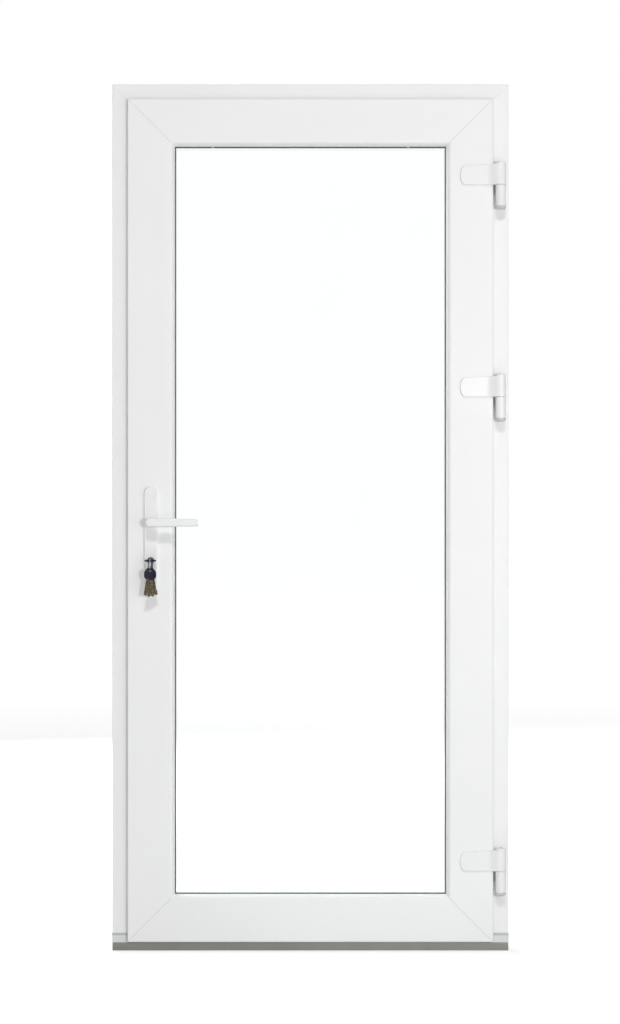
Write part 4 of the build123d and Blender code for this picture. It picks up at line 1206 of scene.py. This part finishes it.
@dataclass
class Studio:
    """Pale floor, soft lamps and the camera that looks straight at the door."""

    floor_size: float = 60.0
    floor_colour: str = "#E9E9E9"
    near_lift: float = 0.52
    far_lift: float = 0.82
    lift_from: float = 1.5
    lift_to: float = 9.0
    ambient: float = 0.24
    camera_place: Triple = (-0.001, -6.035, 1.0632)
    lens: float = 87.0
    sensor: float = 36.0
    target: Triple = (0.0, 0.0, 1.05)
    lamps: tuple[Lamp, ...] = (
        Lamp("front_lamp", (1.25, -5.2, 1.2), 0.3, 74.0),
        Lamp("high_lamp", (0.0, -8.4, 7.5), 0.9, 285.0),
        Lamp("right_fill_lamp", (2.6, -3.0, 0.9), 2.4, 17.0),
        Lamp("back_fill_lamp", (-1.6, 4.6, 2.6), 2.4, 160.0),
    )

    def seen_directly(self, tree: Tree) -> Socket:
        """Returns 1 for what the camera, a mirror or clear glass shows, and 0 for other light."""
        ray = add_node(tree, "ShaderNodeLightPath")
        shown = ray.outputs["Is Camera Ray"]
        for name in ("Is Glossy Ray", "Is Transmission Ray"):
            larger = add_node(tree, "ShaderNodeMath", {"operation": "MAXIMUM"})
            tree.links.new(shown, larger.inputs[0])
            tree.links.new(ray.outputs[name], larger.inputs[1])
            shown = larger.outputs["Value"]
        return shown

    def world(self) -> None:
        """Makes the white surroundings."""
        world = bpy.data.worlds.new("white_surroundings")
        world.use_nodes = True
        tree = world.node_tree
        tree.nodes.clear()
        level = add_node(
            tree,
            "ShaderNodeMapRange",
            {"To Min": self.ambient, "To Max": 1.0},
            {"Value": self.seen_directly(tree)},
        )
        light = add_node(
            tree,
            "ShaderNodeBackground",
            {"Color": (1.0, 1.0, 1.0, 1.0)},
            {"Strength": level.outputs["Result"]},
        )
        add_node(tree, "ShaderNodeOutputWorld", {}, {"Surface": light.outputs["Background"]})
        bpy.context.scene.world = world

    def floor(self) -> None:
        """Lays the floor, which shows white and keeps the door's shadow.

        Its own glow grows away from the door, as the lamps' light on it fades.
        """
        Bench.clear()
        bpy.ops.mesh.primitive_plane_add(size=self.floor_size, location=(0, 0, 0))
        floor = bpy.context.object
        floor.name = "studio_floor"
        material = bpy.data.materials.new("painted_studio_floor")
        material.use_nodes = True
        tree = material.node_tree
        tree.nodes.clear()
        paint = add_node(tree, "ShaderNodeBsdfDiffuse", {"Color": linear(self.floor_colour)})
        place = add_node(tree, "ShaderNodeTexCoord")
        away = add_node(tree, "ShaderNodeVectorMath", {"operation": "LENGTH"})
        tree.links.new(place.outputs["Object"], away.inputs[0])
        glowing = add_node(
            tree,
            "ShaderNodeMapRange",
            {
                "From Min": self.lift_from,
                "From Max": self.lift_to,
                "To Min": self.near_lift,
                "To Max": self.far_lift,
            },
            {"Value": away.outputs["Value"]},
        )
        lift = add_node(tree, "ShaderNodeMath", {"operation": "MULTIPLY"})
        tree.links.new(self.seen_directly(tree), lift.inputs[0])
        tree.links.new(glowing.outputs["Result"], lift.inputs[1])
        glow = add_node(tree, "ShaderNodeEmission", {}, {"Strength": lift.outputs["Value"]})
        both = add_node(tree, "ShaderNodeAddShader")
        tree.links.new(paint.outputs["BSDF"], both.inputs[0])
        tree.links.new(glow.outputs["Emission"], both.inputs[1])
        add_node(tree, "ShaderNodeOutputMaterial", {}, {"Surface": both.outputs["Shader"]})
        floor.data.materials.append(material)

    def camera(self) -> None:
        """Sets the camera at the door's middle height, square to its front."""
        data = bpy.data.cameras.new("camera")
        data.lens = self.lens
        data.sensor_width = self.sensor
        camera = bpy.data.objects.new("camera", data)
        bpy.context.scene.collection.objects.link(camera)
        camera.location = self.camera_place
        camera.rotation_euler = (radians(90), 0, 0)
        bpy.context.scene.camera = camera

    def build(self) -> None:
        """Builds the studio."""
        self.camera()
        self.world()
        self.floor()
        for lamp in self.lamps:
            lamp.hang(Vector(self.target))
        bpy.context.scene.view_settings.view_transform = "Standard"
        log.info("studio: floor, world, %d lamps and camera", len(self.lamps))


def main() -> None:
    """Builds the door's assemblies in order, then the studio."""
    logging.basicConfig(level=logging.INFO, format="%(message)s")
    shop = Paintshop()
    for assembly in (
        FrameAssembly(shop),
        LeafAssembly(shop),
        HingeSet(shop),
        HandleSet(shop),
        LockSet(shop),
        KeySet(shop),
        Studio(),
    ):
        assembly.build()
        log.info("built %s", type(assembly).__name__)


if __name__ == "__main__":
    main()
